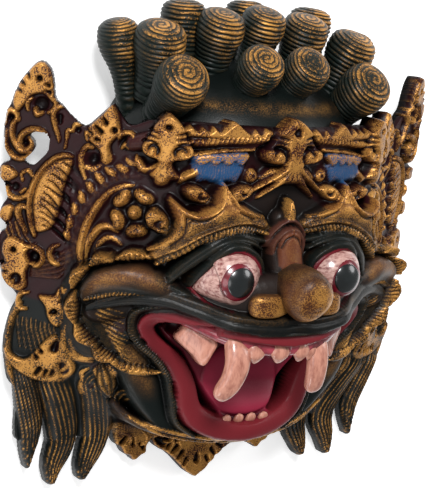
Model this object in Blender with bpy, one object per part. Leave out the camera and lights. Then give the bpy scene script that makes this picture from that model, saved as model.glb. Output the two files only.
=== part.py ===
"""Barong mask: one wood carving with a crown, pierced ear wings, knobs of hair and an open mouth.

The mask lies on the flat rim of its hollow back and looks up along +Z. +Y is towards the
crown and +X is to the right of someone who looks at the face. Sizes are in millimetres.
"""

import math

import bmesh
import bpy
import numpy as np
from mathutils import Vector

MM = 0.001

# The whole mask
MASK_WIDTH = 370.0
MASK_HEIGHT = 380.0
MASK_DEPTH = 160.0

# The carver's drawing, whose places below are in millimetres at this size
DRAWN_WIDTH = 370.0
DRAWN_HEIGHT = 380.0
DRAWN_DEPTH = 160.0
DRAWN_MIDDLE_UP = -12.3

# The block that the head is cut from, and the hollow behind the face
HEAD_HALF_WIDTH = 116.0
HEAD_HALF_HEIGHT = 122.0
HEAD_CENTRE_UP = -14.0
RIM_WALL = 22.0
HOLLOW_DEPTH = 50.0
GOUGE_FLATNESS = 1.6
WING_THICKNESS = 9.0
SAWING_ALLOWANCE = 6.0

# The bent sheet that the ornament is carved on: how far out, and how high there
SHEET_OUT = (0, 40, 66, 85, 103, 125, 150, 171, 190)
SHEET_HIGH = (104, 101, 93, 84, 69, 50, 33, 18, 6)
SHEET_BEND_RADIUS = 10.0
CHIN_BEND_FROM = -60.0
CHIN_BEND_LENGTH = 110.0
CHIN_HIGH = 12.0
WING_LEAN = 0.12

# How fine the carving is worked
GRID_STEP = 2.2
GRID_FOOT = -206.0
GRID_TOP = 134.0
VOXEL = 1.7
CARVED_TRIANGLES = 9200

# The face
EYE_OUT = 46.0
EYE_UP = -16.0
EYE_HIGH = 108.0
EYE_RADIUS = 24.0
NOSE_UP = -24.0
NOSE_HIGH = 138.0
NOSE_RADIUS = 20.0
MUZZLE_HIGH = 139.0
LIP_WIDTH = 7.0
THROAT_HIGH = 62.0
FANG_LENGTH = 40.0
FANG_RADIUS = 8.0
FRONT_TEETH = (-25.6, -7.5, 10.9, 21.0)

# The hair
KNOB_TIP = 0.75
KNOB_STALK = 48.0
CAP_SIZE = (98.0, 60.0, 88.0)
CAP_UP = 76.0
CAP_HIGH = 18.0


def clear_scene():
    for obj in list(bpy.data.objects):
        bpy.data.objects.remove(obj, do_unlink=True)


def placed(drawn):
    """A place on the mask, in metres, from its place on the drawing."""
    drawn = np.asarray(drawn, float)
    scale = np.array([MASK_WIDTH / DRAWN_WIDTH, MASK_HEIGHT / DRAWN_HEIGHT,
                      MASK_DEPTH / DRAWN_DEPTH])
    return (drawn - np.array([0.0, DRAWN_MIDDLE_UP, 0.0])) * scale * MM


def smooth_step(share):
    share = np.clip(share, 0.0, 1.0)
    return share * share * (3.0 - 2.0 * share)


# The bent sheet

def sheet_profile():
    """Distance out, height and length along the sheet, with the bends rounded off."""
    out = np.linspace(SHEET_OUT[0], SHEET_OUT[-1], 761)
    step = out[1] - out[0]
    reach = int(SHEET_BEND_RADIUS / step)
    high = np.interp(out, SHEET_OUT, SHEET_HIGH)
    before = high[reach:0:-1]
    after = 2 * high[-1] - high[-2:-2 - reach:-1]
    weights = np.hanning(2 * reach + 1)
    padded = np.concatenate([before, high, after])
    high = np.convolve(padded, weights / weights.sum(), "valid")
    along = np.concatenate([[0.0], np.cumsum(np.hypot(np.diff(out), np.diff(high)))])
    return out, high, along


PROFILE_OUT, PROFILE_HIGH, PROFILE_ALONG = sheet_profile()


def out_at(along):
    return np.interp(along, PROFILE_ALONG, PROFILE_OUT)


def along_at(out):
    return np.interp(out, PROFILE_OUT, PROFILE_ALONG)


def sheet_height(out, up):
    high = np.interp(out, PROFILE_OUT, PROFILE_HIGH)
    chin = smooth_step((CHIN_BEND_FROM - up) / CHIN_BEND_LENGTH)
    high = high * (1 - chin) + CHIN_HIGH * chin
    return high + WING_LEAN * np.clip(up, 0, None) * smooth_step((out - 90) / 80)


# Curves and distances on the sheet

def smooth_curve(points, steps=6):
    """A Catmull-Rom curve through the points; each may hold more than a place."""
    points = np.array(points, float)
    padded = np.vstack([2 * points[0] - points[1], points, 2 * points[-1] - points[-2]])
    found = []
    for i in range(len(points) - 1):
        a, b, c, d = padded[i:i + 4]
        for t in np.linspace(0, 1, steps, endpoint=False):
            found.append(0.5 * (2 * b + (c - a) * t + (2 * a - 5 * b + 4 * c - d) * t * t
                                + (3 * b - a - 3 * c + d) * t ** 3))
    found.append(points[-1])
    return np.array(found)


def edge_depth(px, py, outline):
    """How far each point is inside a closed outline, or less than nothing outside."""
    gap = np.full(px.shape, 1e9)
    within = np.zeros(px.shape, bool)
    for a, b in zip(outline, np.roll(outline, -1, axis=0)):
        step = b - a
        t = ((px - a[0]) * step[0] + (py - a[1]) * step[1]) / max(step @ step, 1e-9)
        t = np.clip(t, 0, 1)
        gap = np.minimum(gap, np.hypot(px - a[0] - t * step[0], py - a[1] - t * step[1]))
        crosses = (a[1] > py) != (b[1] > py)
        side = a[0] + (py - a[1]) * step[0] / (step[1] if step[1] else 1e-9)
        within ^= crosses & (px < side)
    return np.where(within, gap, -gap)


class Carving:
    """The grid of one half of the mask: where each point is, its height and how far inside it is."""

    def __init__(self, along, up):
        self.along, self.up = np.meshgrid(along, up, indexing="ij")
        self.out = out_at(self.along)
        self.sheet = sheet_height(self.out, self.up)
        self.height = np.zeros_like(self.along)
        self.inside = np.full_like(self.along, -1e3)

    def window(self, low, high):
        """The part of the grid within a box."""
        a = slice(*np.searchsorted(self.along[:, 0], (low[0], high[0])))
        b = slice(*np.searchsorted(self.up[0], (low[1], high[1])))
        return a, b

    def near_curve(self, curve, on_face=False):
        """The window round a curve of (place, up, half width, ...), with the distance there to
        its middle line and the curve's other values at the nearest point."""
        across = self.out if on_face else self.along
        reach = curve[:, 2].max() + 2 * GRID_STEP
        low, high = curve[:, :2].min(0) - reach, curve[:, :2].max(0) + reach
        if on_face:
            low[0], high[0] = along_at(max(low[0], 0)) - 1, along_at(high[0]) + 1
        box = self.window(low, high)
        px, py = across[box], self.up[box]
        best = np.full(px.shape, 1e9)
        values = np.zeros(px.shape + (curve.shape[1] - 2,))
        for start, end in zip(curve[:-1], curve[1:]):
            step = end[:2] - start[:2]
            t = ((px - start[0]) * step[0] + (py - start[1]) * step[1]) / max(step @ step, 1e-9)
            t = np.clip(t, 0, 1)
            gap = np.hypot(px - start[0] - t * step[0], py - start[1] - t * step[1])
            here = start[2:] + t[..., None] * (end[2:] - start[2:])
            closer = gap - here[..., 0] < best
            best = np.where(closer, gap - here[..., 0], best)
            values = np.where(closer[..., None], here, values)
        return box, best, values

    def shape(self, points, hole=False):
        """Adds a tapered curve to the outline, or pierces it."""
        box, edge, _ = self.near_curve(smooth_curve(points))
        if hole:
            self.inside[box] = np.minimum(self.inside[box], edge)
        else:
            self.inside[box] = np.maximum(self.inside[box], -edge)

    def area(self, points):
        """Adds a closed outline with straight sides."""
        depth = edge_depth(self.along, self.up, np.array(points, float))
        self.inside = np.maximum(self.inside, depth)

    def ridge(self, points, height):
        """Raises a rounded ridge of (along, up, half width)."""
        box, edge, values = self.near_curve(smooth_curve(points))
        half = np.maximum(values[..., 0], 0.1)
        share = np.clip(1 + edge / half, 0, 1)
        raised = height * np.sqrt(1 - share ** 2)
        self.height[box] = np.where(edge < 0, np.maximum(self.height[box], raised), self.height[box])

    def plate(self, points, height, edge_round=1.6):
        """Raises a flat-topped leaf or lobe with a rounded edge, and adds it to the outline."""
        curve = smooth_curve(points)
        box, edge, _ = self.near_curve(curve)
        raised = height * np.sqrt(1 - (1 - np.clip(-edge / edge_round, 0, 1)) ** 2)
        self.height[box] = np.where(edge < 0, np.maximum(self.height[box], raised), self.height[box])
        self.inside[box] = np.maximum(self.inside[box], -edge)

    def leaf(self, edge, height, edge_round=1.6):
        """Raises a flat leaf inside a smooth closed outline, and adds it to the mask's outline."""
        edge = np.array(edge, float)
        round_again = np.vstack([edge[-1:], edge, edge[:2]])
        curve = smooth_curve(round_again, 4)[4:-5, :2]
        box = self.window(curve.min(0) - 3 * GRID_STEP, curve.max(0) + 3 * GRID_STEP)
        px, py = self.along[box], self.up[box]
        depth = edge_depth(px, py, curve)
        raised = height * np.sqrt(1 - (1 - np.clip(depth / edge_round, 0, 1)) ** 2)
        self.height[box] = np.where(depth > 0, np.maximum(self.height[box], raised), self.height[box])
        self.inside[box] = np.maximum(self.inside[box], depth)

    def dent(self, points, depth):
        """Sinks a rounded groove or dimple."""
        box, edge, values = self.near_curve(smooth_curve(points))
        half = np.maximum(values[..., 0], 0.1)
        share = np.clip(1 + edge / half, 0, 1)
        self.height[box] -= np.where(edge < 0, depth * np.sqrt(1 - share ** 2), 0)

    def roll(self, points, roundness=1.0):
        """Raises a rounded roll on the face through (out, up, half width, top height)."""
        box, edge, values = self.near_curve(smooth_curve(points), on_face=True)
        half, top = np.maximum(values[..., 0], 0.1), values[..., 1]
        share = np.clip(1 + edge / half, 0, 1)
        raised = top - roundness * half * (1 - np.sqrt(1 - share ** 2)) - self.sheet[box]
        self.height[box] = np.where(edge < 0, np.maximum(self.height[box], raised), self.height[box])

    def mound(self, centre, half, top):
        """Raises a smooth mound on the face to an absolute height."""
        share = np.hypot((self.out - centre[0]) / half[0], (self.up - centre[1]) / half[1])
        lift = smooth_step(1.6 * (1 - share))
        raised = (top - self.sheet) * lift
        self.height = np.maximum(self.height, raised)


# The wings, crown and hair that stand on the sheet

def carve_outline(work):
    """The ground that the ornament stands on: ear wing, corner, hair and chin."""
    work.area([(-4, 98), (76, 98), (122, 84), (140, 88), (154, 82), (176, 96), (197, 92),
               (209, 88), (210, 66), (205, 54), (208, 40), (205, 24), (203, 4), (203, -28),
               (193, -46), (199, -62), (201, -82), (195, -108), (188, -118), (176, -140),
               (157, -140), (140, -160), (118, -160), (84, -158), (60, -166), (-4, -176)])
    # rim lobes of the ear wing, from the tip down: place and half width
    for along, up, half in ((207, 84, 6), (206, 48, 7), (203, 18, 7), (203, -26, 5)):
        work.plate([(along, up, half), (along - 1, up, half)], 4.0)


# Half of a palmette's outline: share of its length from the foot, share of its half width
PALMETTE_EDGE = ((0, 0.16), (0.13, 0.3), (0.24, 0.86), (0.42, 1.0), (0.56, 0.74), (0.64, 0.78),
                 (0.72, 0.5), (0.84, 0.54), (0.95, 0.32), (1, 0))


def carve_palmette(work, foot, tip, half, height=6.5, scrolls=True):
    """A leaf plate with a drilled tip, notched sides and a scroll sunk on each side."""
    foot, tip = np.array(foot, float), np.array(tip, float)
    way = tip - foot
    side = np.array([-way[1], way[0]]) / np.hypot(*way) * half

    def at(share, off=0.0):
        return foot + share * way + off * side

    edge = [at(share, off) for share, off in PALMETTE_EDGE]
    edge += [at(share, -off) for share, off in PALMETTE_EDGE[-2::-1]]
    work.leaf(edge, height)
    work.dent([(*at(0.82), 0.17 * half), (*at(0.83), 0.17 * half)], height)
    if scrolls:
        for sign in (-1, 1):
            sunk = [(*at(0.30, sign * 0.62), 1.2), (*at(0.40, sign * 0.66), 0.16 * half),
                    (*at(0.44, sign * 0.40), 0.2 * half), (*at(0.32, sign * 0.3), 1.2)]
            work.dent(sunk, 0.8 * height)


def carve_wing(work):
    carve_palmette(work, (189, 86), (191, 126), 17)
    carve_palmette(work, (146, 55), (131, 100), 17)
    carve_palmette(work, (176, -22), (209, -3), 17)
    carve_palmette(work, (178, -38), (158, -66), 13, scrolls=False)
    carve_palmette(work, (148, -92), (202, -83), 16)
    carve_palmette(work, (118, -90), (124, -123), 14, height=5)
    # the pierced scroll under the tip
    work.shape([(189, 73, 2.5), (184.5, 69, 5), (185, 61, 5.5), (190, 55, 3)], hole=True)
    work.ridge([(181, 78, 2), (192, 78, 3), (199, 72, 3.4), (199, 65, 3), (195, 65, 1.5)], 7)
    work.ridge([(203, 78, 2), (206, 68, 3), (203, 60, 3), (196, 58, 3), (192, 64, 2.4)], 6)
    # rib and comb leaf in the middle of the wing
    work.ridge([(162, 60, 1.5), (173, 58, 2), (184, 45, 2.2), (188, 25, 2.2), (184, 2, 1.4)], 7)
    for i in range(6):
        up = 54 - 9.5 * i
        out = 180 - 0.011 * (up - 24) ** 2
        work.ridge([(out, up, 5.4), (out - 9, up - 3, 4.6), (out - 17, up - 7, 2)], 5)
    # row of pointed beads round the flower field
    for i in range(9):
        angle = math.radians(-14 + 12.5 * i)
        x, y = 106 + 54 * math.cos(angle), 8 + 46 * math.sin(angle)
        work.ridge([(x, y, 3.6), (x - 1, y + 4, 2.2)], 7)
    # the great crescent, its inner leaf and the flower
    work.ridge([(114, 43, 1.2), (127, 39, 2), (138, 27, 3), (146, 8, 3.4), (148, -8, 3),
                (145, -24, 1.2)], 9)
    work.ridge([(120, 7, 1.5), (132, 11, 3.5), (140, 3, 3), (144, -8, 1.2)], 6)
    carve_flower(work, (110, 24))
    # double crescent under the ear
    work.ridge([(149, -54, 1.5), (156, -68, 2.6), (153, -82, 2.6), (131, -89, 1.5)], 6)


def carve_flower(work, centre):
    petals, reach = 5, 12.5
    for i in range(petals):
        angle = math.radians(120 - 360 / petals * i)
        x = centre[0] + reach * math.cos(angle)
        y = centre[1] + reach * math.sin(angle)
        dx, dy = -math.sin(angle) * 3.6, math.cos(angle) * 3.6
        work.ridge([(x - dx, y - dy, 4.6), (x + dx, y + dy, 4.6)], 8)
    work.ridge([(*centre, 5.5), (centre[0] + 0.2, centre[1], 5.5)], 9)


def carve_crown(work):
    """Scalloped edge, cord line and feather band between the crown's leaves."""
    work.ridge([(0, 84, 7), (44, 84, 7), (84, 81, 7), (112, 74, 5)], 8)
    for along, up, half in ((46, 90, 6), (63, 86, 4), (76, 86, 4)):
        work.plate([(along - 6, up - 3, half), (along, up, half), (along + 6, up - 3, half)], 9)
    work.ridge([(16, 76, 1.6), (44, 74, 1.6), (76, 69, 1.6)], 9)
    work.ridge([(26, 62, 7), (44, 61, 9), (72, 60, 7)], 5)
    carve_palmette(work, (0, 50), (0, 99), 18, height=14)
    carve_palmette(work, (92, 52), (92, 98), 16, height=14)


def carve_hair(work):
    """Flame-shaped locks at the lower corner, and the leaves under the chin."""
    locks = [
        [(184, -104, 8), (174, -128, 10), (166, -150, 10), (168, -168, 6), (169, -180, 1.2)],
        [(156, -112, 12), (142, -138, 15), (134, -160, 14), (142, -182, 9), (143, -190, 6)],
        [(118, -112, 12), (106, -138, 13), (98, -162, 15), (107, -183, 9), (110, -189, 6)],
    ]
    for points in locks:
        work.shape(points)
        work.ridge(points, 8)
    work.ridge([(190, -50, 4), (195, -68, 5), (195, -90, 6), (188, -108, 8)], 5)
    carve_palmette(work, (0, -148), (0, -203), 40, height=5)
    carve_palmette(work, (52, -150), (59, -185), 19, height=5)


# The face

def carve_face(work):
    work.mound((0, 30), (64, 40), 106)
    work.mound((EYE_OUT, EYE_UP), (44, 38), 112)
    work.mound((0, -50), (92, 34), 126)
    work.mound((0, -104), (100, 62), 66)
    work.mound((112, -50), (34, 46), 66)
    # the gable on the forehead and its bead
    work.roll([(0, 64, 4, 117), (10, 58, 4, 115), (30, 46, 3, 108)])
    work.roll([(0, 47, 4, 117), (0, 33, 5, 119)])
    # bridge of the nose with its brow folds
    work.roll([(0, 22, 11, 117), (0, 8, 13, 122), (0, -8, 13, 126)], 0.7)
    carve_brow(work)
    carve_eyelids(work)
    # cheek roll, from below the eye out to the ear
    work.roll([(58, -33, 8, 112), (78, -26, 11, 104), (98, -22, 13, 94), (116, -28, 12, 80),
               (124, -38, 8, 70)], 0.8)
    # fluted edge of the cheek and its pointed leaf
    work.roll([(110, -14, 5, 78), (121, -30, 6, 70), (124, -50, 6, 64), (121, -68, 6, 60),
               (109, -83, 6, 58), (98, -90, 5, 58), (74, -94, 2, 72)], 0.6)
    carve_mouth(work)


def carve_brow(work):
    work.roll([(17, 18, 5, 114), (32, 27, 10, 118), (53, 32, 13, 119), (73, 23, 14, 114),
               (85, 9, 12, 106), (90, -4, 6, 98)], 0.55)
    # cusps of the gold edge, with a bead in each hollow
    work.roll([(24, 30, 2.4, 114), (40, 33, 2.4, 116), (53, 49, 1.6, 110)])
    work.roll([(53, 49, 1.6, 110), (64, 31, 2.4, 118), (78, 29, 2.4, 112), (85, 38, 1.6, 102)])
    work.roll([(85, 38, 1.6, 102), (86, 18, 2.4, 108), (94, 4, 1.8, 98)])
    for out, up, turn in ((37, 45, -25), (66, 43, 25), (95, 21, 65)):
        dx = 6 * math.cos(math.radians(turn))
        dy = 6 * math.sin(math.radians(turn))
        high = float(sheet_height(out, up)) + 8
        work.roll([(out - dx, up - dy, 4.5, high), (out + dx, up + dy, 5.5, high)], 0.8)


def carve_eyelids(work):
    lid = [(19, -12, 5, 122), (26, 5, 5, 122), (43, 13, 5, 122), (60, 8, 5, 117),
           (71, -8, 4, 109), (78, -25, 3, 98), (66, -34, 4, 104), (50, -41, 5, 113),
           (34, -39, 5, 121), (22, -28, 5, 123), (19, -12, 5, 122)]
    work.roll(lid, 1.2)


def mouth_outline():
    """The opening's edge as half width at each height, from the gum down to the lower lip."""
    return [(-150, 0), (-136, 10), (-130, 24), (-112, 35), (-100, 43), (-81, 58), (-68, 76),
            (-60, 83), (-54, 74), (-50, 40)]


def carve_mouth(work):
    # moustache roll
    work.roll([(0, -50, 6, MUZZLE_HIGH), (20, -51, 6, 138), (50, -48, 7, 128),
               (66, -43, 8, 112), (82, -39, 9, 98), (95, -42, 9, 86), (108, -44, 7, 77),
               (118, -46, 3, 69)], 0.9)
    # lips: the upper one under the moustache, the lower one round the jaw
    work.roll([(0, -63, LIP_WIDTH, 136), (28, -61, LIP_WIDTH, 132), (56, -55, 6, 116),
               (76, -51, 6, 98), (89, -59, 6, 84), (82, -72, 7, 80), (64, -86, 8, 79),
               (53, -104, 9, 80), (44, -128, 10, 80), (26, -139, 10, 83), (0, -142, 10, 86)], 0.7)
    # rolls of the cheek outside the lips
    work.roll([(104, -56, 8, 74), (98, -72, 9, 72), (82, -88, 8, 72), (70, -104, 8, 70),
               (68, -122, 7, 66), (60, -138, 5, 62)], 0.8)
    for tip_out, tip_up, high in ((96, -116, 56), (86, -134, 54), (76, -106, 64)):
        work.roll([(tip_out - 8, tip_up + 30, 8, high + 6), (tip_out - 3, tip_up + 14, 6, high + 2),
                   (tip_out, tip_up, 2, high - 4)], 0.8)
    # the opening itself
    outline = np.array(sorted(mouth_outline()), float)
    half = np.interp(work.up, outline[:, 0], outline[:, 1], left=0, right=0)
    depth = half - work.out
    gum = np.clip((-66.0 + 0.12 * work.out - work.up) / 3.0, 0, 1)
    gum = np.maximum(gum, smooth_step((work.out - 50) / 10))
    sink = smooth_step(depth / 4.0) * gum * (half > 0)
    floor = THROAT_HIGH + 0.004 * work.out ** 2 - work.sheet
    floor = floor + 14 * smooth_step((-work.up - 105) / 28)
    work.height = work.height * (1 - sink) + floor * sink


# Meshes

def back_height(out, up):
    """How high the back of the block is: below the floor under the head, thin under the wings."""
    reach = np.hypot(out / HEAD_HALF_WIDTH, (up - HEAD_CENTRE_UP) / HEAD_HALF_HEIGHT)
    sheet = sheet_height(out, up) - WING_THICKNESS * DRAWN_DEPTH / MASK_DEPTH
    under_wing = np.clip(sheet, 1.0, None)
    outside = smooth_step((reach - 1) / 0.06)
    return -SAWING_ALLOWANCE * (1 - outside) + under_wing * outside


def slab_mesh(work):
    """The carved sheet as one closed mesh: both halves, the back and the walls between."""
    keep = np.minimum.reduce([work.inside[:-1, :-1], work.inside[1:, :-1],
                              work.inside[:-1, 1:], work.inside[1:, 1:]]) > -0.55 * GRID_STEP
    columns, rows = work.along.shape
    slope = np.gradient(work.inside, GRID_STEP)
    steep = np.maximum(slope[0] ** 2 + slope[1] ** 2, 0.3)
    pull = np.where(work.inside < 0, np.clip(-work.inside, 0, 1.5 * GRID_STEP) / steep, 0)
    along, up = work.along + pull * slope[0], work.up + pull * slope[1]
    along = np.where(work.along == 0, 0, along)
    out = out_at(along)
    tilt = np.arctan(np.gradient(PROFILE_HIGH, PROFILE_OUT))
    lean = np.interp(out, PROFILE_OUT, tilt) * smooth_step((out - 60) / 40)
    sheet = sheet_height(out, up)
    front = np.stack([out - work.height * np.sin(lean), up, sheet + work.height * np.cos(lean)], -1)
    under = back_height(out, up)
    back = np.stack([out, up, np.minimum(under, front[..., 2] - 4)], -1)

    full_columns = 2 * columns - 1
    index = np.abs(np.arange(full_columns) - columns + 1)
    sign = np.where(np.arange(full_columns) < columns - 1, -1, 1)[:, None]
    points = []
    for layer in (front, back):
        layer = layer[index].copy()
        layer[..., 0] *= sign
        points.append(layer.reshape(-1, 3))
    points = placed(np.vstack(points))
    cell = np.minimum(index[:-1], index[1:])
    kept = keep[cell]
    shift = full_columns * rows

    mesh = bmesh.new()
    needed = {}

    def vertex(i):
        if i not in needed:
            needed[i] = mesh.verts.new(points[i])
        return needed[i]

    for i, j in zip(*np.nonzero(kept)):
        corners = [i * rows + j, (i + 1) * rows + j, (i + 1) * rows + j + 1, i * rows + j + 1]
        mesh.faces.new([vertex(c) for c in corners])
        mesh.faces.new([vertex(c + shift) for c in reversed(corners)])
        for a, b, near in ((0, 1, (i, j - 1)), (1, 2, (i + 1, j)), (2, 3, (i, j + 1)), (3, 0, (i - 1, j))):
            if not (0 <= near[0] < kept.shape[0] and 0 <= near[1] < kept.shape[1] and kept[near]):
                mesh.faces.new([vertex(corners[b]), vertex(corners[a]),
                                vertex(corners[a] + shift), vertex(corners[b] + shift)])
    return mesh


def ball(mesh, centre, radii, rings=12):
    found = bmesh.ops.create_uvsphere(mesh, u_segments=2 * rings, v_segments=rings, radius=1.0)
    for v in found["verts"]:
        v.co = Vector(placed([centre[k] + v.co[k] * radii[k] for k in range(3)]))


def swept(mesh, points, sides=12, flat=1.0):
    """A round or flattened tapered form along a smooth curve of (x, y, z, radius)."""
    curve = smooth_curve(points, 5)
    places = [Vector(p[:3]) for p in curve]
    rings = []
    across = None
    for i, place in enumerate(places):
        way = (places[min(i + 1, len(places) - 1)] - places[max(i - 1, 0)]).normalized()
        if across is None:
            across = way.orthogonal() if abs(way.z) > 0.9 else Vector((0, 0, 1))
        across = (across - way * across.dot(way)).normalized()
        third = way.cross(across)
        ring = []
        for k in range(sides):
            angle = 2 * math.pi * k / sides
            off = across * (math.cos(angle) * flat) + third * math.sin(angle)
            ring.append(mesh.verts.new(placed(place + off * curve[i, 3])))
        rings.append(ring)
    for a, b in zip(rings, rings[1:]):
        for k in range(sides):
            mesh.faces.new([a[k], a[(k + 1) % sides], b[(k + 1) % sides], b[k]])
    mesh.faces.new(list(reversed(rings[0])))
    mesh.faces.new(rings[-1])


def rounded_end(start, end, radius, neck):
    """A stalk that swells to a round head, as points of (x, y, z, radius)."""
    start, end = np.array(start, float), np.array(end, float)
    shape = ((0, neck), (0.35, neck), (0.62, 0.86 * radius), (0.8, radius), (0.93, 0.8 * radius),
             (0.985, 0.42 * radius), (1.0, 0.08 * radius))
    return [(*(start + share * (end - start)), r) for share, r in shape]


def knobs():
    """Each knob of hair: the middle of its head, the way it points and its radius."""
    middle = [((0, 161, 57), (0, 0.93, 0.36), 17), ((0, 166, 32), (0, 1, 0), 16)]
    pairs = [
        ((20, 132, 90), (0.05, 0.66, 0.75), 17),
        ((80, 119, 82), (0.10, 0.62, 0.78), 19.5),
        ((84, 145, 54), (0.14, 0.90, 0.40), 19),
        ((37, 157, 58), (0.02, 0.93, 0.36), 18),
        ((56, 163, 36), (0.06, 0.99, 0.05), 17),
        ((106, 146, 30), (0.22, 0.97, 0.05), 15),
    ]
    for (x, y, z), (dx, dy, dz), radius in pairs:
        middle.append(((x, y, z), (dx, dy, dz), radius))
        middle.append(((-x, y, z), (-dx, dy, dz), radius))
    return middle


def add_hair(mesh):
    ball(mesh, (0, CAP_UP, CAP_HIGH), CAP_SIZE, 16)
    for centre, way, radius in knobs():
        centre, way = np.array(centre, float), np.array(way, float)
        way = way / np.linalg.norm(way)
        tip = centre + KNOB_TIP * radius * way
        foot = centre - KNOB_STALK * way
        foot[0] *= 0.86
        foot[2] = 0.75 * foot[2] + 8
        swept(mesh, rounded_end(foot, tip, radius, 0.62 * radius), 12)


def add_face(mesh):
    ball(mesh, (0, NOSE_UP, NOSE_HIGH), (NOSE_RADIUS, 0.95 * NOSE_RADIUS, 1.1 * NOSE_RADIUS))
    for sign in (-1, 1):
        ball(mesh, (sign * EYE_OUT, EYE_UP, EYE_HIGH), (EYE_RADIUS + 3, EYE_RADIUS, EYE_RADIUS))
        swept(mesh, [(sign * 18, -30, 124, 9), (sign * 25, -33, 129, 10),
                     (sign * 33, -35, 130, 8), (sign * 37, -37, 128, 4)], 10)
        add_teeth(mesh, sign)
    for out in FRONT_TEETH:
        swept(mesh, [(out, -63, 128, 6.5), (out, -70, 130, 7), (out, -77, 130, 3)], 8, flat=0.7)


def add_teeth(mesh, sign):
    """The curved fang, the side tooth behind it and the lower teeth of one side.

    The carver set the fang on the right closer to the middle than the one on the left.
    """
    fang = [(38, 0, 118), (40.5, -0.4, 126), (45, -0.75, 125), (51, -1.0, 121)]
    if sign > 0:
        fang = [(30, 0, 120), (31, -0.4, 126), (31.5, -0.75, 124), (34, -1.0, 121)]
    radii = (FANG_RADIUS, FANG_RADIUS, 0.95 * FANG_RADIUS, 0.5 * FANG_RADIUS)
    swept(mesh, [(sign * x, -62 + FANG_LENGTH * share, z, r)
                 for (x, share, z), r in zip(fang, radii)], 10, flat=0.75)
    swept(mesh, [(sign * 62, -54, 96, 9), (sign * 59, -66, 103, 9), (sign * 54, -80, 101, 3)], 8,
          flat=0.6)
    for out, size in ((5, 3.6), (17, 3.6)):
        swept(mesh, [(sign * out, -140, 78, size), (sign * out, -134, 81, size),
                     (sign * out, -130, 81, 0.6 * size)], 6)


def carve():
    half = PROFILE_ALONG[-1]
    work = Carving(np.arange(0, half, GRID_STEP), np.arange(GRID_FOOT, GRID_TOP, GRID_STEP))
    carve_outline(work)
    carve_wing(work)
    carve_crown(work)
    carve_hair(work)
    carve_face(work)
    return work


def as_object(name, mesh):
    data = bpy.data.meshes.new(name)
    bmesh.ops.triangulate(mesh, faces=[f for f in mesh.faces if len(f.verts) > 4])
    mesh.to_mesh(data)
    mesh.free()
    obj = bpy.data.objects.new(name, data)
    bpy.context.scene.collection.objects.link(obj)
    return obj


def evaluated_mesh(obj):
    bpy.context.view_layer.update()
    graph = bpy.context.evaluated_depsgraph_get()
    return bpy.data.meshes.new_from_object(obj.evaluated_get(graph))


def fuse(obj):
    """One skin over everything that overlaps, thinned to few triangles, with a flat back."""
    remesh = obj.modifiers.new("One_skin", "REMESH")
    remesh.mode = "VOXEL"
    remesh.voxel_size = VOXEL * MM
    skin = evaluated_mesh(obj)
    obj.modifiers.clear()
    obj.data = skin
    thin = obj.modifiers.new("Thin", "DECIMATE")
    thin.ratio = CARVED_TRIANGLES / (2 * len(skin.polygons))


def cut_back(obj):
    """Saws the block flat along the floor and hollows it out from behind."""
    saw = bmesh.new()
    bmesh.ops.create_cube(saw, size=2.0)
    for v in saw.verts:
        v.co = Vector((v.co.x * MASK_WIDTH, v.co.y * MASK_HEIGHT, (v.co.z - 1) * MASK_DEPTH)) * MM
    gouge = bmesh.new()
    found = bmesh.ops.create_uvsphere(gouge, u_segments=32, v_segments=16, radius=1.0)
    middle = placed((0, HEAD_CENTRE_UP, 0))
    wide, high = placed((HEAD_HALF_WIDTH, HEAD_HALF_HEIGHT + DRAWN_MIDDLE_UP, 0))[:2] / MM - RIM_WALL
    for v in found["verts"]:
        share = min(abs(v.co.z), 1.0)
        deep = math.copysign(HOLLOW_DEPTH * (1 - (1 - share) ** GOUGE_FLATNESS), v.co.z)
        v.co = Vector((v.co.x * wide * MM, v.co.y * high * MM + middle[1], deep * MM))
    for name, mesh in (("Saw", saw), ("Gouge", gouge)):
        cutter = as_object(name, mesh)
        cutter.hide_render = True
        cutter.display_type = "WIRE"
        cut = obj.modifiers.new(name, "BOOLEAN")
        cut.operation = "DIFFERENCE"
        cut.solver = "EXACT"
        cut.object = cutter


def wood():
    material = bpy.data.materials.new("Painted_wood")
    material.use_nodes = True
    shader = material.node_tree.nodes["Principled BSDF"]
    shader.inputs["Base Color"].default_value = (0.12, 0.06, 0.04, 1)
    shader.inputs["Roughness"].default_value = 0.5
    return material


def main():
    clear_scene()
    work = carve()
    mesh = slab_mesh(work)
    add_hair(mesh)
    add_face(mesh)
    obj = as_object("mask", mesh)
    fuse(obj)
    cut_back(obj)
    obj.data.materials.clear()
    obj.data.materials.append(wood())


main()
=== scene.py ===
import math

import bmesh
import bpy
import numpy as np
from mathutils import Matrix, Vector


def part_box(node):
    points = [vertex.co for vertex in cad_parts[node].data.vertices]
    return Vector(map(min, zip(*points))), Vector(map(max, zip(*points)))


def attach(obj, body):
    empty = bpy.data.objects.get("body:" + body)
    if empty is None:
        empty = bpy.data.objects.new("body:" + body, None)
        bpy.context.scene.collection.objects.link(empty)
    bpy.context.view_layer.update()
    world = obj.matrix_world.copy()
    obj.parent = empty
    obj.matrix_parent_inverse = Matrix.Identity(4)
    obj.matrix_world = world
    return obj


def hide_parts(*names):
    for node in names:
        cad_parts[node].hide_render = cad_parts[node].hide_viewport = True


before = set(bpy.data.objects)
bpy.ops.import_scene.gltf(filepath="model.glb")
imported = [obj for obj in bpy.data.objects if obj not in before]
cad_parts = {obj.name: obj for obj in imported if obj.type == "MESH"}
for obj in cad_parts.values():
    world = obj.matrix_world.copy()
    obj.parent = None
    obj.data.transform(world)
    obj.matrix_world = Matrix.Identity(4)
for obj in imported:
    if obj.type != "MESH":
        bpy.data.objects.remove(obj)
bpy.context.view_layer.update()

# Drawing units are millimetres in the mask's own plan: out from the middle line, up, and
# towards the viewer. fitToFrame at the end puts every piece into the CAD box.

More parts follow.
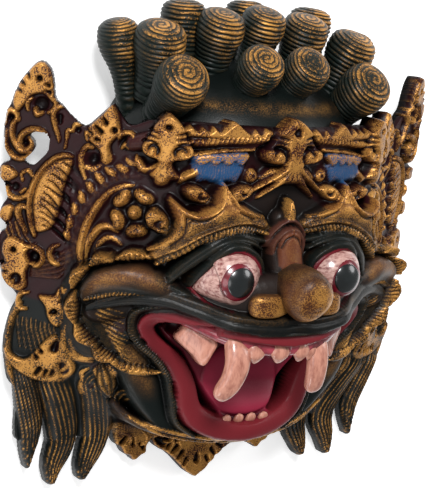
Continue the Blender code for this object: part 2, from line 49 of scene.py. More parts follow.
mask = {
    "gridStep": 0.9,  # fineness of the carving
    "upFrom": -207.0,
    "upTo": 131.0,
    "wingThickness": 7.0,
    "headHalfWidth": 116.0,  # outline of the block behind the face
    "headHalfHeight": 122.0,
    "headMiddleUp": -14.0,
    "rimWall": 22.0,
    "hollowDepth": 50.0,
    "seamAlong": 104.0,  # where the face piece ends and the wing piece begins
    "middleUp": -12.3,
    "drawnSize": (370.1, 380.5, 160.05),
}

# The bent sheet: its height at steps outwards, and how it falls away under the chin
sheet = {
    "out": (0, 40, 66, 85, 103, 125, 150, 171, 190),
    "high": (104, 101, 93, 84, 69, 50, 33, 18, 6),
    "samples": 761,
    "softening": 40,
    "chinUp": -60,
    "chinLength": 110,
    "chinHigh": 12,
}


def srgb(r, g, b):
    # linear colour from the 0-255 values a painter would mix
    found = []
    for part in (r, g, b):
        part = part / 255
        found.append(part / 12.92 if part <= 0.04045 else ((part + 0.055) / 1.055) ** 2.4)
    return np.array(found)


# Paint
maroon = srgb(39, 12, 15)
deepMaroon = srgb(26, 8, 11)
hairBlack = srgb(13, 18, 17)
faceDark = srgb(30, 23, 21)
patina = srgb(84, 50, 26)
crimson = srgb(96, 27, 33)
tonguePink = srgb(128, 34, 54)
gumPink = srgb(158, 58, 72)
mouthDeep = srgb(58, 8, 18)
lidRed = srgb(86, 16, 25)
featherBlue = srgb(28, 66, 104)


def smoothStep(share):
    share = np.clip(share, 0.0, 1.0)
    return share * share * (3.0 - 2.0 * share)


def blur(values, sigma):
    # gaussian blur, sigma in grid cells
    reach = int(3 * sigma) + 1
    weights = np.exp(-0.5 * (np.arange(-reach, reach + 1) / sigma) ** 2)
    weights /= weights.sum()
    for axis in (0, 1):
        pads = [(0, 0), (0, 0)]
        pads[axis] = (reach, reach)
        padded = np.pad(values, pads, mode="edge")
        total = np.zeros_like(values)
        for i, weight in enumerate(weights):
            part = [slice(None), slice(None)]
            part[axis] = slice(i, i + values.shape[axis])
            total += weight * padded[tuple(part)]
        values = total
    return values


# The bent sheet that everything is carved on

def sheetProfile():
    out = np.linspace(sheet["out"][0], sheet["out"][-1], sheet["samples"])
    reach = sheet["softening"]
    high = np.interp(out, sheet["out"], sheet["high"])
    padded = np.concatenate([high[reach:0:-1], high, 2 * high[-1] - high[-2:-2 - reach:-1]])
    weights = np.hanning(2 * reach + 1)
    high = np.convolve(padded, weights / weights.sum(), "valid")
    along = np.concatenate([[0.0], np.cumsum(np.hypot(np.diff(out), np.diff(high)))])
    return out, high, along


profileOut, profileHigh, profileAlong = sheetProfile()
print("sheet bent", len(profileOut), "samples")


def outAt(along):
    return np.interp(along, profileAlong, profileOut)


def chinShare(up):
    return smoothStep((sheet["chinUp"] - up) / sheet["chinLength"])


def sheetAt(out, up):
    high = np.interp(out, profileOut, profileHigh)
    chin = chinShare(up)
    high = high * (1 - chin) + sheet["chinHigh"] * chin
    return high + 0.12 * np.clip(up, 0, None) * smoothStep((out - 90) / 80)


def smoothCurve(points, steps=6, closed=False):
    points = np.array(points, float)
    if closed:
        padded = np.vstack([points[-1:], points, points[:2]])
    else:
        before, after = 2 * points[0] - points[1], 2 * points[-1] - points[-2]
        for end, past, near in ((points[0], before, points[1]), (points[-1], after, points[-2])):
            if end[0] == 0 and near[0] > 0:
                past[:] = near
                past[0] = -near[0]
        padded = np.vstack([before, points, after])
    found = []
    for i in range(len(padded) - 3):
        a, b, c, d = padded[i:i + 4]
        for t in np.linspace(0, 1, steps, endpoint=False):
            found.append(0.5 * (2 * b + (c - a) * t + (2 * a - 5 * b + 4 * c - d) * t * t
                                + (3 * b - a - 3 * c + d) * t ** 3))
    if not closed:
        found.append(points[-1])
    return np.array(found)


# One half of the front as a grid: height off the sheet, paint and gold, the gold mostly rubbed on,
# with painted highlight on some crests
class Relief:
    def __init__(self):
        step = mask["gridStep"]
        along = np.arange(0, profileAlong[-1], step)
        up = np.arange(mask["upFrom"], mask["upTo"], step)
        self.step = step
        self.along, self.up = np.meshgrid(along, up, indexing="ij")
        self.out = outAt(self.along)
        self.sheet = sheetAt(self.out, self.up)
        self.high = np.zeros_like(self.along)
        self.inside = np.full_like(self.along, -1e3)
        self.gold = np.zeros_like(self.along)
        self.paint = np.tile(maroon, self.along.shape + (1,))

    def window(self, low, high):
        a = slice(*np.searchsorted(self.along[:, 0], (low[0], high[0])))
        b = slice(*np.searchsorted(self.up[0], (low[1], high[1])))
        return a, b

    def near(self, curve, onFace):
        # window round a tapered curve, with depth inside it, place across and along it, extras
        reach = curve[:, 2].max() + 2 * self.step
        low, high = curve[:, :2].min(0) - reach, curve[:, :2].max(0) + reach
        if onFace:
            low[0] = np.interp(max(low[0], 0), profileOut, profileAlong) - 1
            high[0] = np.interp(high[0], profileOut, profileAlong) + 1
        box = self.window(low, high)
        px = (self.out if onFace else self.along)[box]
        py = self.up[box]
        best = np.full(px.shape, 1e9)
        across = np.zeros(px.shape)
        run = np.zeros(px.shape)
        extras = np.zeros(px.shape + (curve.shape[1] - 2,))
        gone = 0.0
        for start, end in zip(curve[:-1], curve[1:]):
            way = end[:2] - start[:2]
            size = max(math.hypot(*way), 1e-6)
            t = np.clip(((px - start[0]) * way[0] + (py - start[1]) * way[1]) / size ** 2, 0, 1)
            dx, dy = px - start[0] - t * way[0], py - start[1] - t * way[1]
            gap = np.hypot(dx, dy)
            here = start[2:] + t[..., None] * (end[2:] - start[2:])
            half = np.maximum(here[..., 0], 0.1)
            closer = gap - half < best
            side = np.sign(way[0] * dy - way[1] * dx)
            best = np.where(closer, gap - half, best)
            across = np.where(closer, side * gap / half, across)
            run = np.where(closer, gone + t * size, run)
            extras = np.where(closer[..., None], here, extras)
            gone += size
        return box, -best, across, run, extras

    def raiseTo(self, box, where, high, gold, paint):
        taller = where & (high > self.high[box])
        self.high[box] = np.where(taller, high, self.high[box])
        self.gold[box] = np.where(taller, gold, self.gold[box])
        if paint is not None:
            self.paint[box] = np.where(taller[..., None], paint, self.paint[box])

    def texture(self, across, run, half, comb, notch, slant, curl=0.0):
        # 1 on the strands or teeth and 0 in the cuts between them
        pattern = np.ones(across.shape)
        if comb:
            pattern = pattern * (0.5 + 0.5 * np.cos(math.pi * comb * (across + 1 - 1 / comb)))
        if notch:
            place = run + slant * across * half + curl * half * across ** 2
            pattern = pattern * np.clip(0.62 + 0.75 * np.cos(2 * math.pi * place / notch), 0, 1)
        return pattern

    def stroke(self, points, high, gold=1.0, paint=None, comb=0, notch=0, slant=0.0, cut=1.2,
               flat=False, outline=False, curl=0.0, sharp=1.0):
        # a tapered raised line of (along, up, half width), with strands or teeth cut into it
        box, depth, across, run, extras = self.near(smoothCurve(points), False)
        half = np.maximum(extras[..., 0], 0.1)
        share = np.clip(np.abs(across), 0, 1)
        bulge = np.sqrt(1 - share ** (6 if flat else 2))
        pattern = self.texture(across, run, half, comb, notch, slant, curl)
        top = high * bulge - cut * (1 - pattern)
        shine = gold * smoothStep((bulge - 0.2) / 0.5) * (0.15 + 0.85 * pattern) ** sharp
        self.raiseTo(box, depth > 0, top, shine, paint)
        if outline:
            self.inside[box] = np.maximum(self.inside[box], depth)

    def roll(self, points, roundness=1.0, gold=0.5, paint=None, comb=0, notch=0, slant=0.0,
             cut=1.2):
        # a roll of the face through (out, up, half width, top height)
        box, depth, across, run, extras = self.near(smoothCurve(points), True)
        half, top = np.maximum(extras[..., 0], 0.1), extras[..., 1]
        share = np.clip(np.abs(across), 0, 1)
        drop = half * (1 - np.sqrt(1 - share ** 2))
        pattern = self.texture(across, run, half, comb, notch, slant)
        raised = top - roundness * drop - cut * (1 - pattern) - self.sheet[box]
        shine = gold * (1 - 0.75 * share ** 2) * (0.2 + 0.8 * pattern)
        self.raiseTo(box, depth > 0, raised, shine, paint)

    def plate(self, edge, high, gold=1.0, paint=None, rounding=1.5, outline=True, steps=4):
        # a flat leaf inside a smooth closed outline of (along, up)
        curve = smoothCurve(edge, steps, closed=True)
        box = self.window(curve.min(0) - 2, curve.max(0) + 2)
        px, py = self.along[box], self.up[box]
        depth = self.depthIn(px, py, curve)
        bulge = np.sqrt(1 - (1 - np.clip(depth / rounding, 0, 1)) ** 2)
        shine = gold * smoothStep(depth / 1.0)
        self.raiseTo(box, depth > 0, high * bulge, shine, paint)
        if outline:
            self.inside[box] = np.maximum(self.inside[box], depth)

    def depthIn(self, px, py, curve):
        gap = np.full(px.shape, 1e9)
        within = np.zeros(px.shape, bool)
        for a, b in zip(curve, np.roll(curve, -1, axis=0)):
            way = b - a
            t = ((px - a[0]) * way[0] + (py - a[1]) * way[1]) / max(way @ way, 1e-9)
            t = np.clip(t, 0, 1)
            gap = np.minimum(gap, np.hypot(px - a[0] - t * way[0], py - a[1] - t * way[1]))
            crosses = (a[1] > py) != (b[1] > py)
            edge = a[0] + (py - a[1]) * way[0] / (way[1] if way[1] else 1e-9)
            within ^= crosses & (px < edge)
        return np.where(within, gap, -gap)

    def sink(self, points, deep, paint=None, onFace=False):
        # a rounded cut; a single point drills a hole
        if len(points) == 1:
            x, y, r = points[0]
            points = [(x, y, r), (x + 0.05, y, r)]
        box, depth, across = self.near(smoothCurve(points), onFace)[:3]
        share = np.clip(np.abs(across), 0, 1)
        within = depth > 0
        self.high[box] -= np.where(within, deep * np.sqrt(1 - share ** 2), 0)
        fade = smoothStep(depth / 0.7)
        self.gold[box] = np.where(within, self.gold[box] * (1 - fade), self.gold[box])
        dark = deepMaroon if paint is None else paint
        mixed = self.paint[box] * (1 - fade[..., None]) + dark * fade[..., None]
        self.paint[box] = np.where(within[..., None], mixed, self.paint[box])

    def area(self, edge, paint=None, gold=None):
        # repaints what is inside a smooth outline of (along, up)
        curve = smoothCurve(edge, 3, closed=True)
        box = self.window(curve.min(0) - 2, curve.max(0) + 2)
        fade = smoothStep(self.depthIn(self.along[box], self.up[box], curve) / 2 + 0.5)
        if paint is not None:
            self.paint[box] = self.paint[box] * (1 - fade[..., None]) + paint * fade[..., None]
        if gold is not None:
            self.gold[box] = self.gold[box] * (1 - fade) + gold * fade


# Half outline of a palmette as (share of its length, share of its half width), and its cuts
leafShape = {
    "edge": [(0, 0.56), (0.1, 0.42), (0.17, 0.3), (0.24, 0.27), (0.28, 0.36), (0.3, 0.66),
             (0.36, 0.93), (0.45, 1.0), (0.52, 0.93), (0.59, 0.8), (0.66, 0.7), (0.74, 0.62),
             (0.82, 0.52), (0.9, 0.36), (0.96, 0.2), (1.0, 0.05)],
    "hole": (0.79, 0.15),
    "notches": ((0.54, 1.0), (0.62, 0.84), (0.7, 0.74)),
    "veins": (0.12, 0.32),
}


def palmette(r, foot, tip, half, high, gold=0.95, outline=False):
    # a pointed leaf with a drilled tip, curled shoulders and cut edges, from foot to tip
    foot, tip = np.array(foot, float), np.array(tip, float)
    along = tip - foot
    size = np.hypot(*along)
    along /= size
    across = np.array([along[1], -along[0]])

    def at(share, side, width=0.0):
        place = foot + along * share * size + across * side * half
        return (*place, width) if width else tuple(place)

    edge = leafShape["edge"]
    rim = [at(share, side) for share, side in edge]
    rim += [at(share, -side) for share, side in edge[::-1]]
    r.plate(rim, high, gold, rounding=1.2, outline=outline, steps=4)
    share, wide = leafShape["hole"]
    r.sink([at(share, 0, wide * half)], 5)
    for side in (-1, 1):
        curl = []
        for i in range(9):
            turn = math.radians(235 - 30 * i)
            place = foot + along * (0.41 * size) + across * side * 0.49 * half
            place = (place + across * side * 0.2 * half * math.cos(turn)
                     + along * 0.24 * half * math.sin(turn))
            curl.append((*place, (0.04 + 0.08 * math.sin(math.pi * i / 8)) * half))
        r.sink(curl, 5)
        for share, reach in leafShape["notches"]:
            r.sink([at(share, side * reach, 0.07 * half),
                    at(share + 0.015, side * 0.6, 0.085 * half),
                    at(share - 0.015, side * 0.3, 0.03 * half)], 4.5)
        for offset in leafShape["veins"]:
            r.sink([at(0.02, side * offset, 0.045 * half),
                    at(0.19, side * offset * 0.4, 0.025 * half)], 2.5)


# Ear wing

wing = {
    # outline of the whole ground, from the crown round the tip to the chin
    "groundEdge": [
        (-60, 92), (-30, 92), (30, 92), (60, 92), (88, 92), (104, 91), (119, 86), (127, 93),
        (133, 100), (140, 95), (147, 88), (154, 83), (164, 89), (172, 96), (178, 101), (181, 111),
        (183, 120), (188, 125.5), (194, 126), (200, 119), (205, 111), (208, 103), (210, 94),
        (213, 87), (212, 70), (209, 60), (206, 54), (212, 50), (212, 43), (208, 36), (205, 27),
        (209, 18), (207, 11), (203, 4), (208, -2), (207, -20), (203, -34), (195, -42), (193, -47),
        (198, -60), (201, -80), (199, -95), (195, -109), (187, -118), (184, -134), (178, -160),
        (158, -140), (120, -160), (84, -156), (60, -164), (20, -168), (-20, -168), (-60, -164)],
    # the opening in the scroll under the tip
    "pierced": [(183, 76), (190, 76), (193.5, 73), (190.5, 69.5), (189.2, 65), (191, 60.5),
                (195.5, 54.5), (190, 51), (184.5, 56), (180, 62), (179.2, 68.5), (180, 73)],
}


def carveTip(r):
    r.plate([(178.5, 98), (179.5, 106), (181, 114), (184, 121.5), (189, 126), (194, 125.5),
             (199.5, 119), (204, 112), (207.5, 103), (208, 95), (204, 90), (200, 95), (195, 102),
             (187, 104), (182, 100)], 6, rounding=1.0)
    r.sink([(191, 114.5, 2.4)], 5)
    for place in ([(186, 111, 0.6), (183.5, 110, 1.8)], [(186, 106, 0.6), (182.5, 105, 2.0)],
                  [(199.5, 117, 1.8), (198, 113.5, 0.7)], [(203, 111, 1.9), (200.5, 108.5, 0.7)],
                  [(206, 106, 1.8), (202.5, 104, 0.7)]):
        r.sink(place, 5)
    r.stroke([(195, 100, 1), (198, 96, 1.4), (197, 91, 1)], 5, 0.6)
    r.stroke([(177.5, 101, 1), (178, 94, 1.7), (182, 90.5, 1.4)], 5)
    r.sink([(188, 96, 5.6)], 3.5)
    r.stroke([(186.5, 90, 1.2), (190, 89, 2.2), (192, 92.5, 1.4)], 6)
    # curled leaf beside the tip
    r.stroke([(171, 96, 1), (175.5, 94.5, 1.8), (178.5, 89, 1.8), (176, 81, 1.6), (173, 74, 1.2),
              (172, 70, 0.6)], 5)
    r.sink([(173.5, 88, 2.6), (173, 84, 1.6)], 2.5)
    r.stroke([(157, 84, 1.2), (161, 83.5, 1.8), (162.5, 80, 1)], 4, 0.8)
    r.stroke([(163, 79, 1.5), (166.5, 78.5, 1.8), (166.5, 73, 1), (167, 66, 0.6)], 4, 0.8)
    r.sink([(158.5, 79.5, 2.2)], 2.5)


def carveScroll(r):
    # the pierced scroll: three gold bands that turn into one eye
    r.stroke([(181, 73, 0.8), (185, 77, 1.7), (192, 77.6, 2.3), (198, 74.5, 2.3),
              (200.5, 69.5, 2), (198.5, 65.3, 1.6)], 7)
    r.stroke([(204, 85, 1), (206.5, 80, 2), (206.5, 73, 2.2), (203, 66, 2.2), (198.5, 62, 2.4),
              (193.5, 63, 2.3), (191.2, 67.5, 2), (193.5, 71.5, 1.4)], 6)
    r.stroke([(210.5, 76, 0.8), (210.5, 67, 1.6), (207, 60, 1.9), (201, 56, 2), (195, 56.6, 1.8),
              (190.5, 61, 1)], 6)
    r.sink([(197, 67.3, 1.8)], 4)
    r.stroke([(203, 83, 1.2), (205.5, 88.6, 1.9), (210, 90, 1.9), (212.6, 85, 1.8), (212, 80, 1)],
             5)
    r.sink([(208.3, 84.5, 2)], 3)


def carveRimLeaves(r):
    r.plate([(199, 44), (203, 48.5), (209, 50.5), (213, 48), (212, 42), (208, 38), (203, 40)], 5)
    r.stroke([(189.5, 34, 1), (192, 28.6, 1.6), (198, 26.5, 2), (204, 29, 1.9), (206, 34, 1.2)], 5)
    r.stroke([(193, 34, 0.9), (195.5, 31.5, 1.2)], 4)
    r.stroke([(188.5, 44, 1), (192, 47.5, 1.5), (196.5, 45, 1), (195.5, 40, 0.7)], 4)
    r.sink([(200, 35, 3.2)], 3)
    r.sink([(207, 37.5, 1.8), (204, 35.5, 1)], 4)
    r.plate([(199, 20), (203, 22), (208, 19), (209.5, 13), (205, 8.5), (201, 10), (200, 15)], 5)
    r.stroke([(189, 20, 1), (194, 21, 2.4), (196.5, 17, 2.6), (193, 9, 1.8), (188, 2, 0.8)], 5)
    r.sink([(202, 7.5, 1.6), (206, 8, 1.4)], 3)
    for x in (190, 194.5, 199, 203):
        r.stroke([(x + 2.5, 9, 0.9), (x - 1, 0, 0.9), (x - 6, -6, 0.5)], 2.4, 0.55)


combLeaf = {"strands": 11, "top": 55, "apart": 4.7, "long": 17, "short": 13, "deep": 2.8}


def carveCombLeaf(r):
    # the five-lobed leaf inside its rib, with the strands cut in from the left
    r.plate([(160, 58), (166, 58.5), (173, 56), (179, 50), (184, 39), (186, 26), (184, 13),
             (181, 4), (176, 4), (170, 8), (166, 20), (165, 30), (164, 40), (161, 50)], 5, 0.85,
            outline=False)
    for i in range(combLeaf["strands"]):
        up = combLeaf["top"] - combLeaf["apart"] * i
        out = 181 - 0.0125 * (up - 24) ** 2
        long, half = (combLeaf["short"], 1.2) if i % 2 else (combLeaf["long"], 1.6)
        r.sink([(out - 1, up + 1.5, 0.35), (out - 6, up - 1, 0.7), (out - long, up - 8, half),
                (out - long - 5, up - 12, 1.0)], combLeaf["deep"])
    r.stroke([(161, 60.5, 1), (166, 61, 1.8), (173, 58.5, 2), (181, 50.5, 2.2), (187, 38, 2.3),
              (188.5, 24, 2.2), (186, 10, 1.8), (182, 0, 1)], 7)


# Each bead as (out, up, turn in degrees)
beads = ((159, 4, 82), (158, 14, 80), (155.5, 23.5, 72), (151.5, 32.5, 66), (146, 40.5, 58),
         (139.5, 47.5, 45), (131.5, 52.5, 28), (123, 55.5, 22))


def carveBeadRow(r):
    for x, y, turn in beads:
        dx, dy = math.cos(math.radians(turn)), math.sin(math.radians(turn))
        r.stroke([(x - 3.4 * dx, y - 3.4 * dy, 2.4), (x, y, 2.5), (x + 4 * dx, y + 4 * dy, 0.6)], 7)
        r.stroke([(x - 3 * dy - 2.5, y - 4.5, 2.2), (x - 6 * dy - 3, y - 6, 1.2)], 4, 0.15)
    r.stroke([(152, -14, 1.4), (153, 2, 2.2), (150, 18, 2.4), (143, 32, 2.4), (133, 43, 2.4),
              (121, 49, 2.2), (108, 51, 1.4)], 3.5, 0.1, notch=4.2, slant=0.6)


flower = {
    "middle": (110.5, 24.5),
    "ground": 19,
    "petals": 5,
    "firstTurn": 116,
    "high": 8,
    "petal": [(9.4, -4.4), (8.2, 0), (9.4, 4.4), (12, 7.6), (15.6, 7.6), (18, 3.6), (17.4, 0),
              (18, -3.6), (15.6, -7.6), (12, -7.6)],
}


def carveFlower(r):
    x, y = flower["middle"]
    r.sink([(x, y, flower["ground"])], 2.0)
    for i in range(flower["petals"]):
        turn = math.radians(flower["firstTurn"] - 360 // flower["petals"] * i)
        out = np.array([math.cos(turn), math.sin(turn)])
        side = np.array([-out[1], out[0]])
        edge = [(x, y) + out * far + side * off for far, off in flower["petal"]]
        r.plate(edge, flower["high"], 0.95, rounding=1.8, outline=False)
    r.stroke([(x, y, 5.4), (x + 0.1, y, 5.4)], 9)


def carveCrescents(r):
    r.stroke([(113, 44, 0.8), (121, 42.5, 1.6), (130, 37, 2.2), (138, 27, 3), (144.5, 14, 3.3),
              (147.5, 0, 3), (148, -10, 2.4), (145, -25, 1)], 9)
    r.stroke([(121, 9, 0.8), (129, 12.5, 2.2), (136, 10, 3), (141.5, 1, 2.8), (143.5, -8, 1.4),
              (143, -16, 0.7)], 7)
    r.stroke([(118, 0, 0.8), (126, 4.5, 1.8), (133, 1, 2), (137, -6, 1.6), (137, -13, 0.8)], 5, 0.8)
    r.stroke([(117, -8, 0.8), (124, -6, 1.6), (130, -10, 1.4), (133, -16, 0.8)], 4, 0.6)
    # sweep of fine lines out to the corner
    for i in range(5):
        r.stroke([(152 + 2 * i, -6 - 5 * i, 1.2), (165, -13 - 4 * i, 1.5),
                  (183, -24 - 1.4 * i, 0.9)], 2.2, 0.12)


def carveCorner(r):
    r.plate([(180, -5), (186, -6.5), (192, -3.5), (199, -1.5), (204, -5), (205, -13), (203, -19),
             (205.5, -26), (203, -34), (197, -39.5), (190, -38), (186.5, -33), (186, -26),
             (184, -20), (187, -13), (184, -9)], 6)
    r.sink([(196.5, -11, 2.4)], 5)
    r.sink([(187, -8.5, 1.3)], 4)
    r.stroke([(188, -8, 1), (182, -8.2, 1.8), (176.5, -11.5, 2), (175.5, -17.5, 2),
              (179, -21.5, 1.8), (183, -20, 1.2)], 6.5)
    r.sink([(181, -15.5, 4.3)], 4)
    r.sink([(193.5, -32, 4.6)], 4.5)
    r.stroke([(187.5, -32, 1.2), (187.5, -37, 1.7), (192, -39.6, 1.9), (196, -37, 1.6),
              (195.5, -33.5, 1)], 6)
    r.sink([(205, -21.5, 1.5), (201, -21, 0.8)], 4)
    r.sink([(204.5, -27.5, 1.6), (200, -27, 0.8)], 4)
    r.stroke([(164, -5, 1), (168.5, -7, 1.7), (170.5, -12, 2), (168, -17.5, 2),
              (163.5, -19, 1.2)], 5)
    r.sink([(165, -12, 2.4)], 2)


def carveEarDrop(r):
    # the leaves under the ear: a small one, a hook, and the big one that points out
    r.stroke([(146, -27, 1), (151, -33.5, 2.8), (157, -38.5, 2.6), (159.5, -36.5, 1)], 5.5)
    r.plate([(153, -50), (158, -46.5), (160.5, -40), (162.5, -36.5), (165, -42), (176.5, -43),
             (171, -51), (169.5, -57), (166, -63), (161, -65.5), (157, -62), (154, -56)], 5.5)
    r.sink([(157.3, -46, 3.2)], 5)
    r.sink([(164, -54, 2.6), (167, -55.5, 1.2)], 5)
    r.stroke([(184, -42, 1), (189, -43, 1.9), (191.5, -48, 2), (189.5, -53.5, 2.2),
              (185, -54, 1.2)], 5)
    r.plate([(149, -87), (155, -81), (157, -76), (161, -71.5), (166, -73), (171, -79), (176, -86),
             (182, -91.5), (190, -90), (197, -84), (200, -82), (199, -88), (192, -98),
             (182, -104.5), (172, -108.5), (163, -109.5), (155, -109.5), (147, -107),
             (141.5, -101), (143, -93)], 6)
    r.sink([(161, -82, 3.9), (160, -77.5, 2.4)], 5)
    r.sink([(173, -82, 0.8), (170.5, -85.5, 2)], 5)
    r.sink([(176.5, -87, 0.8), (173.5, -90, 2)], 5)
    r.sink([(150, -99, 4), (153, -94.5, 2.8)], 5)
    r.sink([(160.5, -104.5, 1), (159, -100.5, 2)], 5)
    r.sink([(165.5, -105, 1), (164.5, -100.5, 2)], 5)
    r.sink([(172.5, -103, 1.6), (170, -99, 2.2)], 5)
    r.stroke([(149, -94, 1), (150, -98, 1.8), (154, -100, 1)], 5)
    # two crescents that cup the cheek
    r.stroke([(149, -53, 0.8), (154, -62, 1.7), (156, -72, 2.2), (152.5, -82, 2.2),
              (143.5, -88.5, 2), (130, -90.5, 0.8)], 6)
    r.stroke([(148, -62, 0.8), (150.5, -72, 1.5), (147, -82, 1.7), (139, -87.5, 1.4),
              (129, -88, 0.7)], 5.2, 0.9)
    r.stroke([(141, -52, 3), (143, -66, 5), (138, -78, 5), (130, -83, 2)], 3.2, 0.25)
    r.stroke([(116, -93, 1.6), (110.5, -97, 2.6), (108.5, -104.5, 2.9), (111, -112, 2.4),
              (116, -113.5, 1)], 5)
    r.stroke([(134, -105, 1), (132, -112.5, 2.8), (126.5, -118.5, 3.3), (120, -119.5, 2.6),
              (117, -115, 1.2)], 5)
    r.stroke([(121, -93, 1), (125, -96.5, 1.8), (122.5, -102, 1.2)], 4)
    r.stroke([(131, -97, 1), (135.5, -100.5, 1.9), (133, -106, 1.2)], 4)
    r.sink([(117, -103, 4)], 2)
    r.sink([(124, -111, 2.6)], 2)


# Crown

def carveCrown(r):
    r.stroke([(0, 83, 8), (44, 83, 8), (84, 81, 8), (116, 74, 6)], 7, 0.05)
    r.plate([(17, 84), (22, 91), (27, 86), (31, 90.5), (35, 86.5), (41, 91), (47, 95.5),
             (53, 91.5), (58, 87), (62, 91), (66, 87), (70, 90), (74, 87), (78, 91), (82, 83)],
            10, 0.95)
    r.stroke([(22, 83.5, 2.5), (50, 81.5, 2.7), (80, 78, 2.5)], 11, 1.0, notch=3.5, slant=0.35,
             curl=0.7, cut=3, flat=True)
    r.stroke([(30, 75.6, 1.1), (55, 73.6, 1.3), (77, 69.5, 1.1)], 10)
    carveFeathers(r)
    # leaf over the temple
    r.plate([(88, 50), (90, 62), (94, 62), (98, 49), (93, 46)], 12, 0.6, outline=False)
    palmette(r, (92, 52), (91, 98), 16, 14, outline=True)
    r.stroke([(94, 64, 1.0), (100, 58.5, 1.1), (110, 55, 0.6)], 12)
    # small leaves between the crown and the ear wing
    r.stroke([(105, 55.5, 1.8), (109.5, 60, 3), (112.5, 65, 0.8)], 8)
    r.stroke([(113, 59, 1), (117, 60, 1.6), (120, 62.5, 0.7)], 6)
    r.stroke([(73, 57, 3.4), (79, 53.5, 3), (81, 50, 1.6)], 9)
    # leaf over the middle of the forehead
    palmette(r, (0, 52), (0, 99), 25, 15, 0.85, outline=True)
    r.stroke([(8, 63, 1.2), (16, 60, 1.7), (23, 55, 1.0)], 13, 0.8)
    r.plate([(25, 57), (29, 62), (34.5, 60.5), (35, 55), (31, 51.5), (26.5, 53)], 8, 0.7,
            outline=False)
    r.sink([(30, 56.5, 1.9)], 3)


feathers = {
    "panel": [(34, 73), (50, 72.5), (64, 71), (75, 68.5), (71, 60), (66, 54), (58, 50.5), (50, 51),
              (44, 56), (39, 65)],
    "count": 21,
    "focus": (55.0, 18.0),
    "firstTurn": 112,
    "apart": 2.25,
    "fringe": [(34.5, 73.2), (54, 72), (74, 69)],
    "tongues": 9,
    "cuts": 12,
}


def carveFeathers(r):
    r.plate(feathers["panel"], 6, 0.0, featherBlue, outline=False)
    x, y = feathers["focus"]
    for i in range(feathers["count"]):
        turn = math.radians(feathers["firstTurn"] - feathers["apart"] * i)
        dx, dy = math.cos(turn), math.sin(turn)
        start, end = 35.5, 51 - 0.02 * (i - 10) ** 2
        place = [(x + dist * dx, y + dist * dy, half)
                 for dist, half in ((start, 0.5), (start + 6, 0.8), (end, 0.9))]
        r.stroke(place, 7.2, 0.22, featherBlue)
    fringe = feathers["fringe"][:]
    for i in range(feathers["tongues"]):
        out = 73.2 - 4.7 * i
        fringe.append((out, 65.2 + 0.06 * (74 - out) - (3.4 if i % 2 else 0)))
    r.plate(fringe, 8.2, 0.85, rounding=0.7, outline=False, steps=2)
    for i in range(feathers["cuts"]):
        out = 38 + 3.0 * i
        fall = 0.06 * (out - 36)
        r.sink([(out, 68.2 - fall, 0.25), (out + 0.3, 63 - fall, 0.35)], 0.9)


# Hair and chin leaves

locks = {
    "paths": [
        [(184, -102, 9), (175, -126, 11), (167.5, -150, 10.5), (168, -168, 6), (169, -181, 0.8)],
        [(158, -108, 13), (143, -136, 15), (134, -160, 15), (141.5, -180, 10), (143.5, -192, 5)],
        [(122, -108, 13), (107, -136, 14), (98, -160, 15), (106.5, -182, 9.5), (109.5, -191, 5)],
    ],
    "high": 9,
    "comb": 7,  # strands cut into each
    "cut": 1.4,
    "lowest": 0.3,  # share that is left of them where they start, under the ear
}


def carveLocks(r):
    for points in locks["paths"]:
        r.stroke(points, locks["high"], 0.85, hairBlack, comb=locks["comb"], cut=locks["cut"],
                 outline=True, sharp=8)
    top = smoothStep((-98 - r.up) / 18)
    hair = (r.along > 84) & (r.up < -84) & (r.high > 1)
    share = locks["lowest"] + (1 - locks["lowest"]) * top
    r.high = np.where(hair, r.high * share, r.high)
    r.gold = np.where(hair, r.gold * share, r.gold)
    r.stroke([(91, -108, 1), (94, -120, 6), (90, -134, 4), (83, -140, 0.8)], 8, 0.85, hairBlack,
             comb=3, sharp=6)
    r.stroke([(190, -50, 3), (195.5, -64, 3.6), (197, -82, 3.6), (194, -100, 4), (189, -113, 2)],
             4.5, 0.7, hairBlack, comb=1)


def carveChinLeaves(r):
    for i in range(9):
        x = 191 - 3.4 * i
        r.stroke([(x, -60 - 0.5 * i, 0.5), (x - 1, -70, 0.9), (x - 4 - i, -84 - i, 0.5)], 1.6,
                 0.35, hairBlack)
    r.plate([(-9, -150), (30, -150), (40, -160), (41, -170), (36, -176), (28, -180.5), (20, -187),
             (12, -195), (5, -200.5), (-5, -201)], 5, 1.0)
    r.plate([(42, -150), (80, -150), (80, -160), (76, -169), (71, -172), (67, -178), (62, -180),
             (57.5, -184.5), (51.5, -180.5), (47, -179), (46, -172), (41, -164)], 5, 0.8)
    r.sink([(0, -189, 3.0), (0, -184.5, 2.0)], 5)
    for place in ([(38, -168, 2.2), (32, -171, 4), (27, -167, 2.6)],
                  [(23.5, -180.5, 1.2), (19, -176, 2.5)],
                  [(17.5, -186.5, 1.2), (13.5, -181, 2.4)], [(28, -177, 1.1), (25.5, -173, 1.8)],
                  [(11.5, -192, 1.2), (9, -187, 2.0)],
                  [(16, -168, 1.2), (20, -170, 1.6), (19, -173, 0.8)],
                  [(10, -170, 1.2), (7, -166, 1.6)], [(71, -168, 2.6), (67, -163, 1.8)],
                  [(50, -174, 2), (54, -170, 1.2)], [(60, -171, 1.2), (61, -166, 1.6)]):
        r.sink(place, 5)
    r.stroke([(41, -158, 1), (35.5, -161, 1.8), (28.5, -162, 2.1), (24, -166, 2),
              (25.5, -171, 1.7), (30, -171.5, 1)], 7, 0.95)
    r.stroke([(78, -155, 1), (72, -159, 1.8), (65.5, -161.5, 2), (62.5, -166.5, 1.8),
              (65, -170.5, 1.4), (68.5, -169, 0.9)], 6.5, 0.8)
    r.stroke([(53, -160, 1), (48, -165, 1.7), (48.5, -170.5, 1.7), (52.5, -172, 1)], 6.5, 0.8)
    r.area([(-9, -150), (84, -150), (84, -160), (60, -163), (40, -160), (20, -168), (-9, -172)],
           gold=0.5)


# Face

